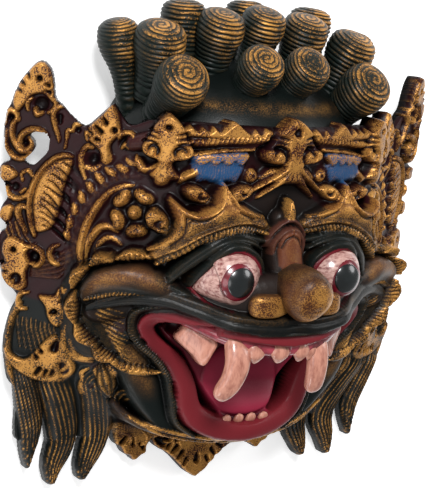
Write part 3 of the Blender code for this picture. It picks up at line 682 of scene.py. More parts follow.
face = {
    "throatHigh": 62.0,
    "cheekPaint": srgb(70, 42, 24),
    "jawPaint": srgb(71, 42, 24),
    # the two crest colours below are painted highlight, for the lit crests of the cheek and jaw
    "cheekLitCrest": srgb(70, 42, 26),
    "jawLitCrest": srgb(62, 42, 26),
    "ridgeBrown": srgb(62, 34, 28),
    "bridgeBrown": srgb(80, 42, 28),
    "moustache": srgb(9, 12, 12),
}


def mound(r, centre, half, top, paint=None):
    share = np.hypot((r.out - centre[0]) / half[0], (r.up - centre[1]) / half[1])
    raised = (top - r.sheet) * smoothStep(1.6 * (1 - share))
    taller = raised > np.maximum(r.high, 0.5)
    r.high = np.where(taller, raised, r.high)
    if paint is not None:
        r.paint = np.where(taller[..., None], paint, r.paint)
        r.gold = np.where(taller, 0.1, r.gold)


def rubAndShadeCrest(r, ownPaint, lit, tint, shine):
    # what was raised in this paint of its own gets gold rubbed on its crest, a painted highlight
    # along the crest, and sides painted dark as shade
    found = (r.paint == ownPaint).all(axis=-1)
    r.gold = np.where(found, r.gold * lit * shine, r.gold)
    mixed = hairBlack + (tint - hairBlack) * lit[..., None]
    r.paint = np.where(found[..., None], mixed, r.paint)


def carveFace(r):
    # the block is cut back round the mouth before the jaws are raised on it
    reach = np.hypot(r.out / 116, (r.up + 96) / 70)
    low = np.minimum(0, 56 - r.sheet) * smoothStep((1 - reach) / 0.25)
    low = low * smoothStep((-30 - r.up) / 20)
    cutBack = (low < 0) & (r.up > -150)
    r.high = np.where(cutBack, low, r.high)
    r.paint = np.where(cutBack[..., None], hairBlack, r.paint)
    r.gold = np.where(cutBack, 0.0, r.gold)
    mound(r, (0, 30), (64, 40), 105)
    mound(r, (38, -10), (40, 36), 110, faceDark)
    mound(r, (112, -50), (34, 46), 62, hairBlack)
    r.roll([(0, -32, 22, 134), (30, -34, 20, 129), (55, -38, 15, 114), (76, -37, 13, 98),
            (98, -38, 12, 82), (116, -48, 9, 70)], 0.55, gold=0.03, paint=faceDark)
    r.roll([(112, -56, 9, 60), (102, -70, 13, 64), (90, -86, 14, 69), (79, -104, 14, 71),
            (68, -126, 12, 68), (54, -141, 9, 66), (20, -148, 8, 72), (0, -149, 8, 74)], 0.75,
           gold=1.0, paint=face["jawPaint"])
    # painted light and shade along the jaw: a lit band on its crest, with its sides darkened
    crest = np.interp(r.up, (-126, -104, -86, -70, -56), (72, 82, 93, 104, 110))
    lit = np.exp(-((r.out - crest) / 6) ** 2)
    lit = lit * smoothStep((r.up + 122) / 30) * smoothStep((-50 - r.up) / 14)
    rubAndShadeCrest(r, face["jawPaint"], lit, face["jawLitCrest"], 0.34)
    # brow and cheek as plain masses, softened before the cutting
    r.roll([(17, 21, 4, 112.5), (32, 26, 6.5, 116), (45, 29, 8.5, 117), (60, 26, 9, 116.5),
            (71, 18, 8, 111.5), (79, 7, 6.5, 105.5), (88, -3, 4, 97)], 0.25, gold=0.62,
           paint=patina)
    for cusp in ([(53, 28, 10, 116), (53, 40, 6, 114), (53, 49, 1, 111)],
                 [(74, 20, 5.5, 110), (79, 29, 3.6, 107), (84, 37, 1, 103)]):
        r.roll(cusp, 0.3, gold=0.62, paint=patina)
    r.roll([(64, -40, 3, 104), (80, -29, 8, 99.5), (97, -22.5, 12, 94), (115, -27, 11, 81),
            (124, -37, 6, 70)], 0.75, gold=1.0, paint=face["cheekPaint"])
    # painted light and shade along the cheek roll: a lit band on its crest, with its sides darkened
    crest = np.interp(r.out, (64, 80, 97, 115, 124), (-37, -25, -17, -23, -33))
    lit = np.exp(-((r.up - crest) / 6.5) ** 2)
    lit = lit * smoothStep((r.out - 68) / 26) * smoothStep((130 - r.out) / 14)
    rubAndShadeCrest(r, face["cheekPaint"], lit, face["cheekLitCrest"], 0.3)
    box = r.window((0, -160), (160, 64))
    r.high[box] = blur(r.high[box], 1.8)
    r.area([(-9, 46), (20, 42), (40, 30), (60, 30), (90, 20), (96, 0), (92, -20), (80, -40),
            (40, -60), (-9, -60)], faceDark)
    # gold rubbed on the brow, painted lighter towards its top and darker towards the eye as painted
    # highlight and shade
    middle = np.interp(r.out, (17, 32, 45, 60, 73, 84, 92), (21, 26, 29, 27, 20, 9, -4))
    share = np.clip((r.up - middle) / 9, -1, 1)
    onBrow = (r.out > 14) & (r.out < 96) & (np.abs(r.up - middle - 6) < 18) & (r.gold > 0.5)
    r.gold = np.where(onBrow, 0.46 + 0.34 * share, r.gold)
    # gable and gem over the nose
    r.roll([(0, 66, 2.2, 119), (12, 57.5, 2.2, 116.5), (31, 45, 1.4, 109)], gold=0.85)
    r.roll([(0, 59, 2.0, 117.5), (10, 52, 2.0, 115.5), (24, 41, 1.2, 109)], gold=0.7)
    r.roll([(0, 39, 2.4, 118), (0, 33, 3.8, 119.5), (0, 29, 4.4, 119.5)], 0.6, gold=1.0)
    carveBridge(r)
    carveBrow(r)
    carveLids(r)
    carveCheek(r)
    carveMouth(r)


def carveBridge(r):
    r.roll([(0, 22, 12, 115), (0, 10, 15, 119.5), (0, -8, 15, 126)], 0.7, gold=0.05, paint=faceDark)
    for points, half, shine in (
            ([(0, 25.5, 120), (8, 22.5, 119), (14.5, 15, 116.5), (16.5, 6, 113)], 1.6, 0.05),
            ([(0, 19.5, 122.5), (6.5, 17, 121.8), (12, 10, 119.5), (13, 2, 118)], 2.2, 0.08)):
        r.roll([(out, up, half, top) for out, up, top in points], gold=shine,
               paint=face["ridgeBrown"])
    r.roll([(0, 12, 8.5, 123.6), (0, 4, 10, 125), (0, -6, 10.5, 127)], 0.6, gold=0.16,
           paint=face["bridgeBrown"])
    for side in (-1, 1):
        r.sink([(side * 0.5, 14.8, 0.9), (side * 5, 12.4, 1.0), (side * 8.4, 6, 0.8)], 1.6,
               faceDark, onFace=True)


brow = {
    # three hollows between four cusps, as (out, up, half width, top height)
    "rims": ([(19, 27, 1.0, 113), (31, 30, 1.6, 117), (43, 35.5, 1.5, 117.5), (53, 51, 0.7, 112)],
             [(53, 51, 0.7, 112), (58, 37, 1.5, 118.5), (69, 29, 1.7, 117.5), (77, 30, 1.5, 113),
              (84, 38.5, 0.7, 104)],
             [(84, 38.5, 0.7, 104), (80, 27, 1.6, 109.5), (80.5, 15.5, 1.6, 107),
              (86, 6, 1.5, 101), (93, 0, 0.9, 94)]),
    "cuts": ((0, 3.8), (0, 3.8), (2.5, 0.5)),  # how far inside each rim its line is cut
    "beads": ((38, 44.5, -22), (67.5, 41.5, 25), (88, 19.5, 62)),  # out, up, turn in degrees
    "toothLength": 3.0,
}


def carveBrow(r):
    # toothed lower edge
    r.roll([(17, 15.5, 1.8, 113), (37, 19.5, 2.8, 117.5), (55, 17, 3.0, 118.5),
            (69, 10.5, 3.0, 114), (80, 0, 2.8, 107.5), (88, -9, 1.6, 98.5)], 0.7, gold=0.62,
           paint=hairBlack, notch=brow["toothLength"], slant=0.3, cut=3.2)
    r.roll([(20, 20.5, 0.9, 115), (37, 24.5, 1.1, 119), (55, 22, 1.1, 120),
            (69, 15.5, 1.1, 115.5), (81, 4.5, 1.0, 108.5), (89, -4, 0.8, 99.5)], gold=0.5,
           paint=faceDark)
    for rim in brow["rims"]:
        r.roll(rim, 0.9, gold=1.0)
    for rim, (inwards, down) in zip(brow["rims"], brow["cuts"]):
        r.sink([(out - inwards, up - down, 0.8) for out, up, half, top in rim[1:-1]], 1.6,
               onFace=True)
    for bead in brow["beads"]:
        carveBead(r, *bead)


def carveBead(r, out, up, turn):
    # an almond with a drilled eye, in a hollow of the brow's rim
    dx, dy = math.cos(math.radians(turn)), math.sin(math.radians(turn))
    high = float(sheetAt(out, up)) + 11
    r.roll([(out - 8 * dx, up - 8 * dy, 1.6, high - 1),
            (out - 3 * dx, up - 3 * dy, 4.6, high + 0.6),
            (out + 3 * dx, up + 3 * dy, 5.4, high + 1), (out + 7 * dx, up + 7 * dy, 3.4, high)],
           0.6, gold=1.0)
    cut = ((-4.5, 0.4, 0.6), (-2.5, -1.6, 1.0), (0.3, -1.4, 1.9), (1.6, 0.8, 1.0), (0.6, 2.0, 0.5))
    r.sink([(out + a * dx - b * dy, up + a * dy + b * dx, half) for a, b, half in cut], 3,
           onFace=True)


# Folds of the lids, from the brow inwards: points, roundness, gold, paint
lids = (
    ([(18, 10, 2.5, 113), (40, 13, 4.2, 118), (59, 8, 4.4, 116.5), (72, -4, 4, 108.5),
      (81, -17, 2.5, 99)], 0.8, 0.05, hairBlack),
    ([(20, 4, 1.6, 115), (32, 9.5, 2.2, 119), (46, 11.5, 2.6, 120.5), (60, 6, 2.8, 118),
      (72, -7, 2.8, 109.5), (83, -24, 1.6, 96)], 0.9, 0.05, hairBlack),
    ([(19, -20, 2.2, 118), (22.5, -5, 2.6, 120), (33, 4, 3, 122.5), (47, 7.5, 3.2, 124),
      (58, 1, 3, 120.5), (66, -11, 2.4, 113), (70, -23, 1.4, 104)], 1.0, 0.05, hairBlack),
    ([(23, -24, 2.6, 119), (26, -9, 3.2, 121), (35, 0.5, 2.4, 122.5), (47, 4, 1.7, 123.4),
      (57, -2, 1.5, 119.8), (64.5, -13, 1.2, 112), (69.5, -24, 0.8, 103.5)], 1.0, 0.0, lidRed),
    ([(22, -27, 1.3, 122), (33, -36.5, 1.3, 123.5), (46, -39.5, 1.3, 120.5),
      (56, -37.5, 1.3, 115.5), (64, -32, 1.2, 109), (70, -24.5, 0.8, 103)], 1.0, 0.0, lidRed),
    ([(21, -31, 2.2, 124), (33, -40, 3.0, 126), (47, -43, 3.0, 122.5), (60, -39.5, 2.8, 114.5),
      (70, -31.5, 2.8, 106), (80, -25.5, 1.6, 100)], 1.0, 0.05, hairBlack),
)


def carveLids(r):
    for fold in lids:
        r.roll(*fold)


cheek = {
    # each lobe of its fluted edge by three places (out, up, top height)
    "lobes": (((108, -8, 84), (99.5, -4.5, 88), (91, -6, 89)),
              ((121, -13.5, 79), (116.5, -9, 82), (110.5, -10, 83)),
              ((132.5, -31, 72), (130, -22, 75), (123.5, -16, 78)),
              ((130.5, -57, 68), (132.5, -46, 70), (131, -35, 72)),
              ((116.5, -76, 66), (125, -68, 67), (129, -59, 68)),
              ((103, -87, 67), (111, -84, 66), (117.5, -77, 66))),
    "ticks": (-0.75, -0.45, -0.15, 0.15, 0.45, 0.75),
    "middle": (98, -48),
    "feathers": 10,
}


def carveCheek(r):
    # lobed edge round the cheek, each lobe with ticks cut in from its inner side
    lobes = cheek["lobes"]
    for lobe in lobes:
        r.roll([(*lobe[0][:2], 1.4, lobe[0][2]), (*lobe[1][:2], 4.4, lobe[1][2] + 1),
                (*lobe[2][:2], 1.4, lobe[2][2])], 0.7, gold=0.8, paint=hairBlack)
    middle = np.array(cheek["middle"])
    for lobe in lobes:
        for share in cheek["ticks"]:
            low, mid, top = (np.array(place[:2], float) for place in lobe)
            spot = mid * (1 - share * share) + (low if share < 0 else top) * share * share
            spot = spot + (top - low) * 0.5 * share * (1 - abs(share))
            inward = (middle - spot) / np.hypot(*(middle - spot))
            r.sink([(*(spot + inward * 4.2), 1.0), (*(spot + inward * 1.6), 0.75),
                    (*(spot - inward * 1.4), 0.25)], 3.2, onFace=True)
    r.roll([(104, -88.5, 2.0, 67), (96, -91.5, 3.6, 70), (86, -94.5, 3.0, 73),
            (71, -95.5, 0.5, 77)], 0.6, gold=0.85, paint=hairBlack)
    for i in range(7):
        out = 101 - 3.6 * i
        r.sink([(out, -87.5 - 0.6 * i, 1.0), (out - 0.8, -91.5 - 0.5 * i, 0.5)], 3, onFace=True)
    # hatched upper edge of the whiskers
    r.roll([(124, -39.5, 0.8, 72), (116, -36.5, 1.6, 78), (108, -33, 1.8, 84),
            (98, -31.5, 1.6, 90), (88, -31.5, 0.8, 95)], 0.8, gold=0.7, paint=hairBlack,
           notch=2.2, slant=0.5, cut=1.8)
    # feathering of fine lines from the fluted edge in to the lips
    for share in np.linspace(0, 1, cheek["feathers"]):
        start = (118 - 15 * share ** 2, -41 - 40 * share)
        end = (start[0] - 15 + 4 * share, start[1] - 8)
        points = []
        for part, half, lift in ((0.0, 0.6, 0.3), (0.25, 1.0, 1.2), (0.6, 0.9, 1.1),
                                 (1.0, 0.3, 0.2)):
            out = start[0] + (end[0] - start[0]) * part
            up = start[1] + (end[1] - start[1]) * part - 3 * part * (1 - part)
            points.append((out, up, half, groundHigh(r, out, up) + lift))
        r.roll(points, 1.0, gold=0.62, paint=hairBlack)
    # ticked border of the lips
    r.roll([(80, -40, 1.2, 98), (92, -43, 1.8, 90), (98, -50, 2.4, 84), (98.5, -62, 2.6, 79),
            (92, -74, 2.8, 77), (79, -84.5, 2.8, 78), (68, -98, 2.8, 78), (62, -116, 2.6, 77),
            (55, -136, 2.2, 76), (40, -147, 1.6, 76)], 0.8, gold=0.12, paint=hairBlack, notch=2.2,
           cut=1.4)
    # flame of whisker and jaw line
    r.roll([(110, -92, 3, 56), (103, -106, 6.5, 58), (97, -119, 1.5, 52)], 0.9, gold=0.55,
           paint=hairBlack, comb=3)
    r.roll([(94, -124, 2, 50), (80, -138, 4, 56), (58, -147, 4, 64), (30, -152, 3, 69),
            (0, -154, 3, 71)], 0.9, gold=0.1, paint=faceDark)
    r.roll([(74, -139, 1.2, 62), (58, -144.5, 1.5, 68), (28, -150.5, 1.6, 75),
            (0, -152.5, 1.6, 78)], 0.9, gold=0.9)
    r.roll([(84, -134, 1.2, 57), (60, -148.5, 1.5, 64), (30, -154.5, 1.5, 70),
            (0, -156.5, 1.5, 72)], 0.9, gold=0.8)


def groundHigh(r, out, up):
    # height of what is carved so far, at one place
    i = int(round(float(np.interp(out, profileOut, profileAlong)) / r.step))
    j = int(round((up - mask["upFrom"]) / r.step))
    return float(r.high[i, j] + r.sheet[i, j])


mouth = {
    # half width of the opening at steps up from the lower lip
    "up": (-137, -135.5, -130, -112, -100, -81, -68, -60, -54, -50),
    "out": (0, 14, 24, 35, 43, 58, 76, 83, 74, 40),
    "lip": [(0, -60.5, 6.2, 138), (28, -59, 6.2, 134), (54, -53.5, 6, 119), (72, -48.5, 5.2, 101.5),
            (85, -50, 5, 89), (90.5, -57, 5, 82), (88, -66, 5, 78.5), (77, -76, 6.5, 77.5),
            (63, -87, 7.8, 79), (53, -104, 8.8, 80.5), (45, -127, 9.8, 81), (26, -139, 9.8, 84),
            (0, -142.5, 9.8, 87)],
    "tongueHigh": 6.5,
    "tongueHalf": (34, 27),
    "tongueUp": -106,
}


def carveMouth(r):
    # moustache: two folds over each other, with a beaded line between
    for down, top, half in ((0, 0.0, 3.6), (6, 1.5, 3.8)):
        r.roll([(0, -44 - down, half, 138 + top), (20, -45 - down, half, 138 + top),
                (48, -42.5 - down, half, 130 + top), (66, -36.5 - 0.9 * down, half, 114 + top),
                (82, -31.5 - 0.8 * down, half, 99.5 + top),
                (97, -33 - 0.7 * down, half, 88 + top), (112, -39 - 0.5 * down, 3, 77),
                (123, -45 - 0.3 * down, 1.2, 69)], 0.8, gold=0.03 + 0.07 * (down == 0),
               paint=face["moustache"])
    r.roll([(0, -54.5, 1.1, 140.5), (28, -54, 1.1, 137), (52, -49.5, 1.1, 127),
            (66, -44.5, 1.1, 112), (82, -39, 1.0, 97), (96, -41, 1.0, 85)], 1.0, gold=0.12,
           paint=hairBlack, notch=1.9, cut=0.9)
    r.roll(mouth["lip"], 0.62, gold=0.0, paint=crimson)
    # the opening
    half = np.interp(r.up, mouth["up"], mouth["out"], left=0, right=0)
    depth = half - r.out
    gum = np.clip((-65.0 + 0.12 * r.out - r.up) / 3.0, 0, 1)
    gum = np.maximum(gum, smoothStep((r.out - 52) / 8))
    sink = smoothStep(depth / 3.0) * gum * (half > 0)
    floor = face["throatHigh"] + 0.004 * r.out ** 2 + 14 * smoothStep((-r.up - 105) / 28)
    wide, high = mouth["tongueHalf"]
    dome = 1 - (r.out / wide) ** 2 - ((r.up - mouth["tongueUp"]) / high) ** 2
    tongue = mouth["tongueHigh"] * np.sqrt(np.clip(dome, 0, 1))
    corner = 9 * smoothStep(1.3 - np.hypot((r.out - 76) / 12, (r.up + 58) / 9))
    r.high = r.high * (1 - sink) + (floor + tongue - corner - r.sheet) * sink
    r.gold = r.gold * (1 - sink)
    dim = smoothStep((-r.up - 70) / 30)[..., None]
    inner = mouthDeep * (1 - dim) + tonguePink * dim
    inner = inner * (1 - (tongue > 0)[..., None]) + tonguePink * (tongue > 0)[..., None]
    r.paint = r.paint * (1 - sink[..., None]) + inner * sink[..., None]


def carveAll():
    r = Relief()
    curve = smoothCurve(wing["groundEdge"], 4, closed=True)
    r.inside = r.depthIn(r.along, r.up, curve)
    r.high = np.where(r.inside > 0, 0.8 * np.sqrt(np.clip(r.inside, 0, 1)), 0)
    r.area([(150, -56), (205, -50), (215, -120), (190, -200), (80, -200), (80, -150), (90, -92),
            (130, -96)], hairBlack)
    carveLocks(r)
    carveChinLeaves(r)
    carveCrescents(r)
    carveBeadRow(r)
    carveCombLeaf(r)
    carveFlower(r)
    carveTip(r)
    carveScroll(r)
    carveRimLeaves(r)
    carveCorner(r)
    carveEarDrop(r)
    carvePinnacle(r)
    carveCrown(r)
    carveFace(r)
    # pierced through, under the tip
    curve = smoothCurve(wing["pierced"], 4, closed=True)
    box = r.window(curve.min(0) - 2, curve.max(0) + 2)
    r.inside[box] = np.minimum(r.inside[box], -r.depthIn(r.along[box], r.up[box], curve))
    print("relief carved", r.high.shape)
    return r


def carvePinnacle(r):
    # the toothed leaf between the temple and the wing's tip
    r.plate([(126, 84), (128, 92), (131, 98), (134, 100), (139, 95), (145, 89), (151, 82),
             (147, 78), (150, 74), (145, 70), (140, 65), (139, 59), (134, 57), (130, 61),
             (133, 70), (128, 77), (124, 80)], 6)
    r.sink([(130, 82, 2.6)], 5)
    r.sink([(139.5, 90, 0.9), (137, 86.5, 2.2)], 5)
    r.sink([(145.5, 84, 1), (140.5, 80, 2.2)], 5)
    r.sink([(144, 74.5, 1.8), (141, 74, 1)], 4)
    r.stroke([(113.5, 76, 1.2), (117, 80.5, 1.7), (123, 80.5, 1.8), (126.5, 76.5, 1.2)], 5.5)
    r.sink([(122, 73, 5)], 2.5)
    r.stroke([(119, 70, 1), (121.5, 72.5, 1.8), (124, 69.5, 1)], 5)
    r.stroke([(146, 68, 1.2), (151, 68.5, 1.9), (154, 62, 2), (153, 53, 1.8), (149.5, 45, 0.9)], 6)
    r.sink([(144.5, 59.5, 4.6)], 4)
    r.stroke([(139.5, 55.5, 1.2), (144, 53, 2), (150, 54, 1.4)], 5)
    r.stroke([(149, 77, 1), (152.5, 78.5, 1.2), (151, 73, 1)], 4.5, 0.8)


# Meshes from the relief

def backHeight(out, up):
    # the underside: the sawn rim, the hollow behind the face, and the backs of the wings
    reach = np.hypot(out / mask["headHalfWidth"],
                     (up - mask["headMiddleUp"]) / mask["headHalfHeight"])
    inner = np.hypot(out / (mask["headHalfWidth"] - mask["rimWall"]),
                     (up - mask["headMiddleUp"]) / (mask["headHalfHeight"] - mask["rimWall"]))
    bulge = np.sqrt(np.clip(1 - inner ** 2, 0, 1))
    bowl = mask["hollowDepth"] * (1 - (1 - bulge) ** 1.6)
    outside = smoothStep((reach - 1) / 0.06)
    underWing = np.clip(sheetAt(out, up) - mask["wingThickness"], 1.0, None)
    return bowl * (1 - outside) + underWing * outside


def frontAndBack(r):
    slope = np.gradient(r.inside, r.step)
    steep = np.maximum(slope[0] ** 2 + slope[1] ** 2, 0.3)
    pull = np.where(r.inside < 0, np.clip(-r.inside, 0, 1.5 * r.step) / steep, 0)
    along = np.where(r.along == 0, 0, r.along + pull * slope[0])
    up = r.up + pull * slope[1]
    out = outAt(along)
    tilt = np.arctan(np.gradient(profileHigh, profileOut))
    lean = np.interp(out, profileOut, tilt) * smoothStep((out - 60) / 40)
    lean = lean * (1 - chinShare(up))
    under = sheetAt(out, up)
    front = np.stack([out - r.high * np.sin(lean), up, under + r.high * np.cos(lean)], -1)
    front[..., 0] = np.where(r.along == 0, 0, front[..., 0])
    inward = mask["wingThickness"] * np.sin(lean) * (backHeight(out, up) > 1.5) * (out > 100)
    back = np.stack([out + inward, up, np.minimum(backHeight(out, up), front[..., 2] - 3)], -1)
    back[..., 2] = np.maximum(back[..., 2], 0)
    return front, back


def gridNormals(points):
    # smooth normals of a half sheet; those on the middle line lose their sideways part
    a = np.gradient(points, axis=0)
    b = np.gradient(points, axis=1)
    normals = np.cross(a, b)
    normals[0, :, 0] = 0
    return normals / np.maximum(np.linalg.norm(normals, axis=-1, keepdims=True), 1e-9)


def makePiece(name, points, faces, normals, paint, gold, material):
    data = bpy.data.meshes.new(name)
    data.from_pydata(points, [], faces)
    data.shade_smooth()
    colour = data.color_attributes.new("paint", "FLOAT_COLOR", "POINT")
    colour.data.foreach_set("color", np.column_stack([paint, np.ones(len(paint))]).ravel())
    rubbed = data.attributes.new("gold", "FLOAT", "POINT")
    rubbed.data.foreach_set("value", np.ascontiguousarray(gold, dtype=np.float32))
    data.normals_split_custom_set_from_vertices([Vector(n) for n in normals])
    data.materials.append(material)
    obj = bpy.data.objects.new(name, data)
    bpy.context.scene.collection.objects.link(obj)
    return obj


def sheetPiece(name, r, columns, side, material, paint, gold, keep, front, back):
    # one closed slab of the carving, between two columns of the grid
    first, last = columns
    rows = r.along.shape[1]
    part = keep[first:last]
    count = (last - first + 1) * rows

    def flip(points):
        points = points[first:last + 1].reshape(-1, 3).copy()
        points[:, 0] *= side
        return points

    i, j = np.nonzero(part)
    a = i * rows + j
    quad = np.stack([a, a + rows, a + rows + 1, a + 1], 1)
    if side < 0:
        quad = quad[:, ::-1]
    faces = [quad, quad[:, ::-1] + count]
    padded = np.pad(part, 1)
    for di, dj, c, d in ((0, -1, 0, 1), (1, 0, 1, 2), (0, 1, 2, 3), (-1, 0, 3, 0)):
        atEdge = part & ~padded[1 + di:padded.shape[0] - 1 + di, 1 + dj:padded.shape[1] - 1 + dj]
        i, j = np.nonzero(atEdge)
        a = i * rows + j
        corner = np.stack([a, a + rows, a + rows + 1, a + 1], 1)
        wall = np.stack([corner[:, d], corner[:, c], corner[:, c] + count, corner[:, d] + count], 1)
        faces.append(wall if side > 0 else wall[:, ::-1])
    faces = np.vstack(faces)
    points = np.vstack([flip(front), flip(back)])
    normals = np.vstack([flip(gridNormals(front)), -flip(gridNormals(back))])
    used, faces = np.unique(faces, return_inverse=True)
    colours = np.tile(paint[first:last + 1].reshape(-1, 3), (2, 1))
    colours[count:] = hairBlack * 0.9
    rubbed = np.concatenate([gold[first:last + 1].ravel(), np.zeros(count)])
    return makePiece(name, points[used].tolist(), faces.reshape(-1, 4).tolist(), normals[used],
                     colours[used], rubbed[used], material)


# How far the gold follows what stands proud, and how far painted shade darkens what lies low, over
# a narrow and a broad blur
rubbingAndShade = {"narrow": 2.5, "broad": 9.0, "narrowGold": 0.24, "broadGold": 0.03,
           "narrowShade": 0.3, "broadShade": 0.08}


def rubbedAndShadedPaint(r):
    # rubs gold on what stands proud, and darkens the paint as painted shade in the cuts and at the
    # foot of tall parts
    proud = r.high - blur(r.high, rubbingAndShade["narrow"])
    broad = r.high - blur(r.high, rubbingAndShade["broad"])
    gold = r.gold * (1 + rubbingAndShade["narrowGold"] * np.clip(proud, -2.5, 1.6)
                     + rubbingAndShade["broadGold"] * np.clip(broad, -6, 5))
    # painted shade: the paint is darkened where the carving lies below its surroundings
    shade = np.clip(1 + rubbingAndShade["narrowShade"] * np.clip(proud, -2.5, 1.0)
                    + rubbingAndShade["broadShade"] * np.clip(broad, -5, 2), 0.2, 1.3)
    return r.paint * shade[..., None], np.clip(gold, 0, 1.15)


# Materials

def node(tree, kind, inputs=None, **settings):
    made = tree.nodes.new(kind)
    for key, value in settings.items():
        setattr(made, key, value)
    for key, value in (inputs or {}).items():
        if isinstance(value, bpy.types.NodeSocket):
            tree.links.new(value, made.inputs[key])
        else:
            made.inputs[key].default_value = value
    return made


goldLeaf = {
    "dull": srgb(146, 92, 40),
    "bright": srgb(210, 156, 82),
    "fineScale": 1000.0,
    "broadScale": 75.0,
    "cover": 0.96,
    "metal": 0.62,
    "specular": 0.14,
    "coatRoughness": 0.25,
    "bump": 0.35,
    "bumpDepth": 0.0004,
}


def sumsIn(tree):
    # short way to a Math node in a tree
    def sums(kind, *values):
        return node(tree, "ShaderNodeMath", dict(enumerate(values)), operation=kind).outputs[0]

    return sums


def blended(tree, share, first, second):
    # mix of two colours, each a socket or three numbers
    first, second = (v if isinstance(v, bpy.types.NodeSocket) else (*v, 1) for v in (first, second))
    return node(tree, "ShaderNodeMix", {"Factor": share, "A": first, "B": second},
                data_type="RGBA").outputs["Result"]


def newMaterial(name):
    material = bpy.data.materials.new(name)
    material.use_nodes = True
    tree = material.node_tree
    return material, tree, tree.nodes["Principled BSDF"]


def addBump(tree, shader, height, strength):
    bump = node(tree, "ShaderNodeBump", {"Height": height, "Strength": strength,
                                         "Distance": goldLeaf["bumpDepth"]})
    tree.links.new(bump.outputs["Normal"], shader.inputs["Normal"])


def goldRubbed(name, roughness=0.38, speckle=8.0, patches=4.5, plain=None, coat=0.05):
    # painted wood with gold rubbed on the high places, by the paint and gold attributes, which also
    # carry painted shade and painted highlights
    material, tree, shader = newMaterial(name)
    sums = sumsIn(tree)
    place = node(tree, "ShaderNodeTexCoord").outputs["Object"]
    fine = node(tree, "ShaderNodeTexNoise", {"Vector": place, "Scale": goldLeaf["fineScale"],
                                             "Detail": 2.0, "Roughness": 0.6}).outputs["Fac"]
    broad = node(tree, "ShaderNodeTexNoise", {"Vector": place, "Scale": goldLeaf["broadScale"],
                                              "Detail": 3.0}).outputs["Fac"]
    rubbed = node(tree, "ShaderNodeAttribute", attribute_name="gold").outputs["Fac"]
    if plain is None:
        paint = node(tree, "ShaderNodeAttribute", attribute_name="paint").outputs["Color"]
    else:
        paint = blended(tree, broad, plain, plain * 0.7)
    grain = sums("MULTIPLY_ADD", fine, speckle, 0.8 - 0.5 * speckle)
    worn = sums("MULTIPLY_ADD", broad, patches, -0.5 * patches)
    thin = sums("POWER", rubbed, 1.5)
    cover = node(tree, "ShaderNodeMath", {0: sums("MULTIPLY", thin, sums("ADD", grain, worn)),
                                          1: goldLeaf["cover"]},
                 operation="MINIMUM", use_clamp=True).outputs[0]
    leaf = blended(tree, broad, goldLeaf["dull"], goldLeaf["bright"])
    tree.links.new(blended(tree, cover, paint, leaf), shader.inputs["Base Color"])
    tree.links.new(sums("MULTIPLY", cover, goldLeaf["metal"]), shader.inputs["Metallic"])
    rough = sums("MULTIPLY_ADD", fine, 0.3, roughness - 0.15)
    tree.links.new(rough, shader.inputs["Roughness"])
    shader.inputs["Specular IOR Level"].default_value = goldLeaf["specular"]
    shader.inputs["Coat Weight"].default_value = coat
    shader.inputs["Coat Roughness"].default_value = goldLeaf["coatRoughness"]
    addBump(tree, shader, fine, goldLeaf["bump"])
    return material


# Glossy paints: two colours, noise scale, roughness, stretch of the noise, and its range
paints = {
    "toothPaint": (srgb(192, 134, 114), srgb(138, 80, 66), 300.0, 0.4, (1, 0.3, 1), 0.42, 0.72),
    "gumPaint": (gumPink, crimson, 120.0, 0.25, (1, 1, 1), 0.35, 0.65),
    "eyePaint": (srgb(196, 158, 148), srgb(112, 48, 46), 420.0, 0.28, (0.25, 1, 1), 0.42, 0.66),
    "irisPaint": (srgb(112, 18, 32), srgb(80, 10, 22), 150.0, 0.26, (1, 1, 1), 0.35, 0.65),
    "pupilPaint": (srgb(12, 16, 17), srgb(20, 25, 26), 100.0, 0.25, (1, 1, 1), 0.35, 0.65),
}


def lacquer(name):
    # glossy paint that varies between two colours
    colour, other, scale, roughness, stretch, low, high = paints[name]
    material, tree, shader = newMaterial(name)
    place = node(tree, "ShaderNodeTexCoord").outputs["Object"]
    place = node(tree, "ShaderNodeMapping", {"Vector": place, "Scale": stretch}).outputs["Vector"]
    noise = node(tree, "ShaderNodeTexNoise", {"Vector": place, "Scale": scale, "Detail": 5.0,
                                              "Roughness": 0.65}).outputs["Fac"]
    share = node(tree, "ShaderNodeMapRange", {"Value": noise, "From Min": low,
                                              "From Max": high}).outputs["Result"]
    tree.links.new(blended(tree, share, colour, other), shader.inputs["Base Color"])
    shader.inputs["Roughness"].default_value = roughness
    shader.inputs["Coat Weight"].default_value = 0.5
    shader.inputs["Coat Roughness"].default_value = 0.1
    addBump(tree, shader, noise, 0.15)
    return material


# Turned, swept and round pieces

def meshPiece(name, mesh, material):
    bmesh.ops.recalc_face_normals(mesh, faces=mesh.faces)
    data = bpy.data.meshes.new(name)
    mesh.to_mesh(data)
    mesh.free()
    data.shade_smooth()
    data.materials.append(material)
    obj = bpy.data.objects.new(name, data)
    bpy.context.scene.collection.objects.link(obj)
    return obj


def ball(mesh, centre, radii, rings=32):
    found = bmesh.ops.create_uvsphere(mesh, u_segments=2 * rings, v_segments=rings, radius=1.0)
    for v in found["verts"]:
        v.co = Vector([centre[k] + v.co[k] * radii[k] for k in range(3)])
    return found["verts"]


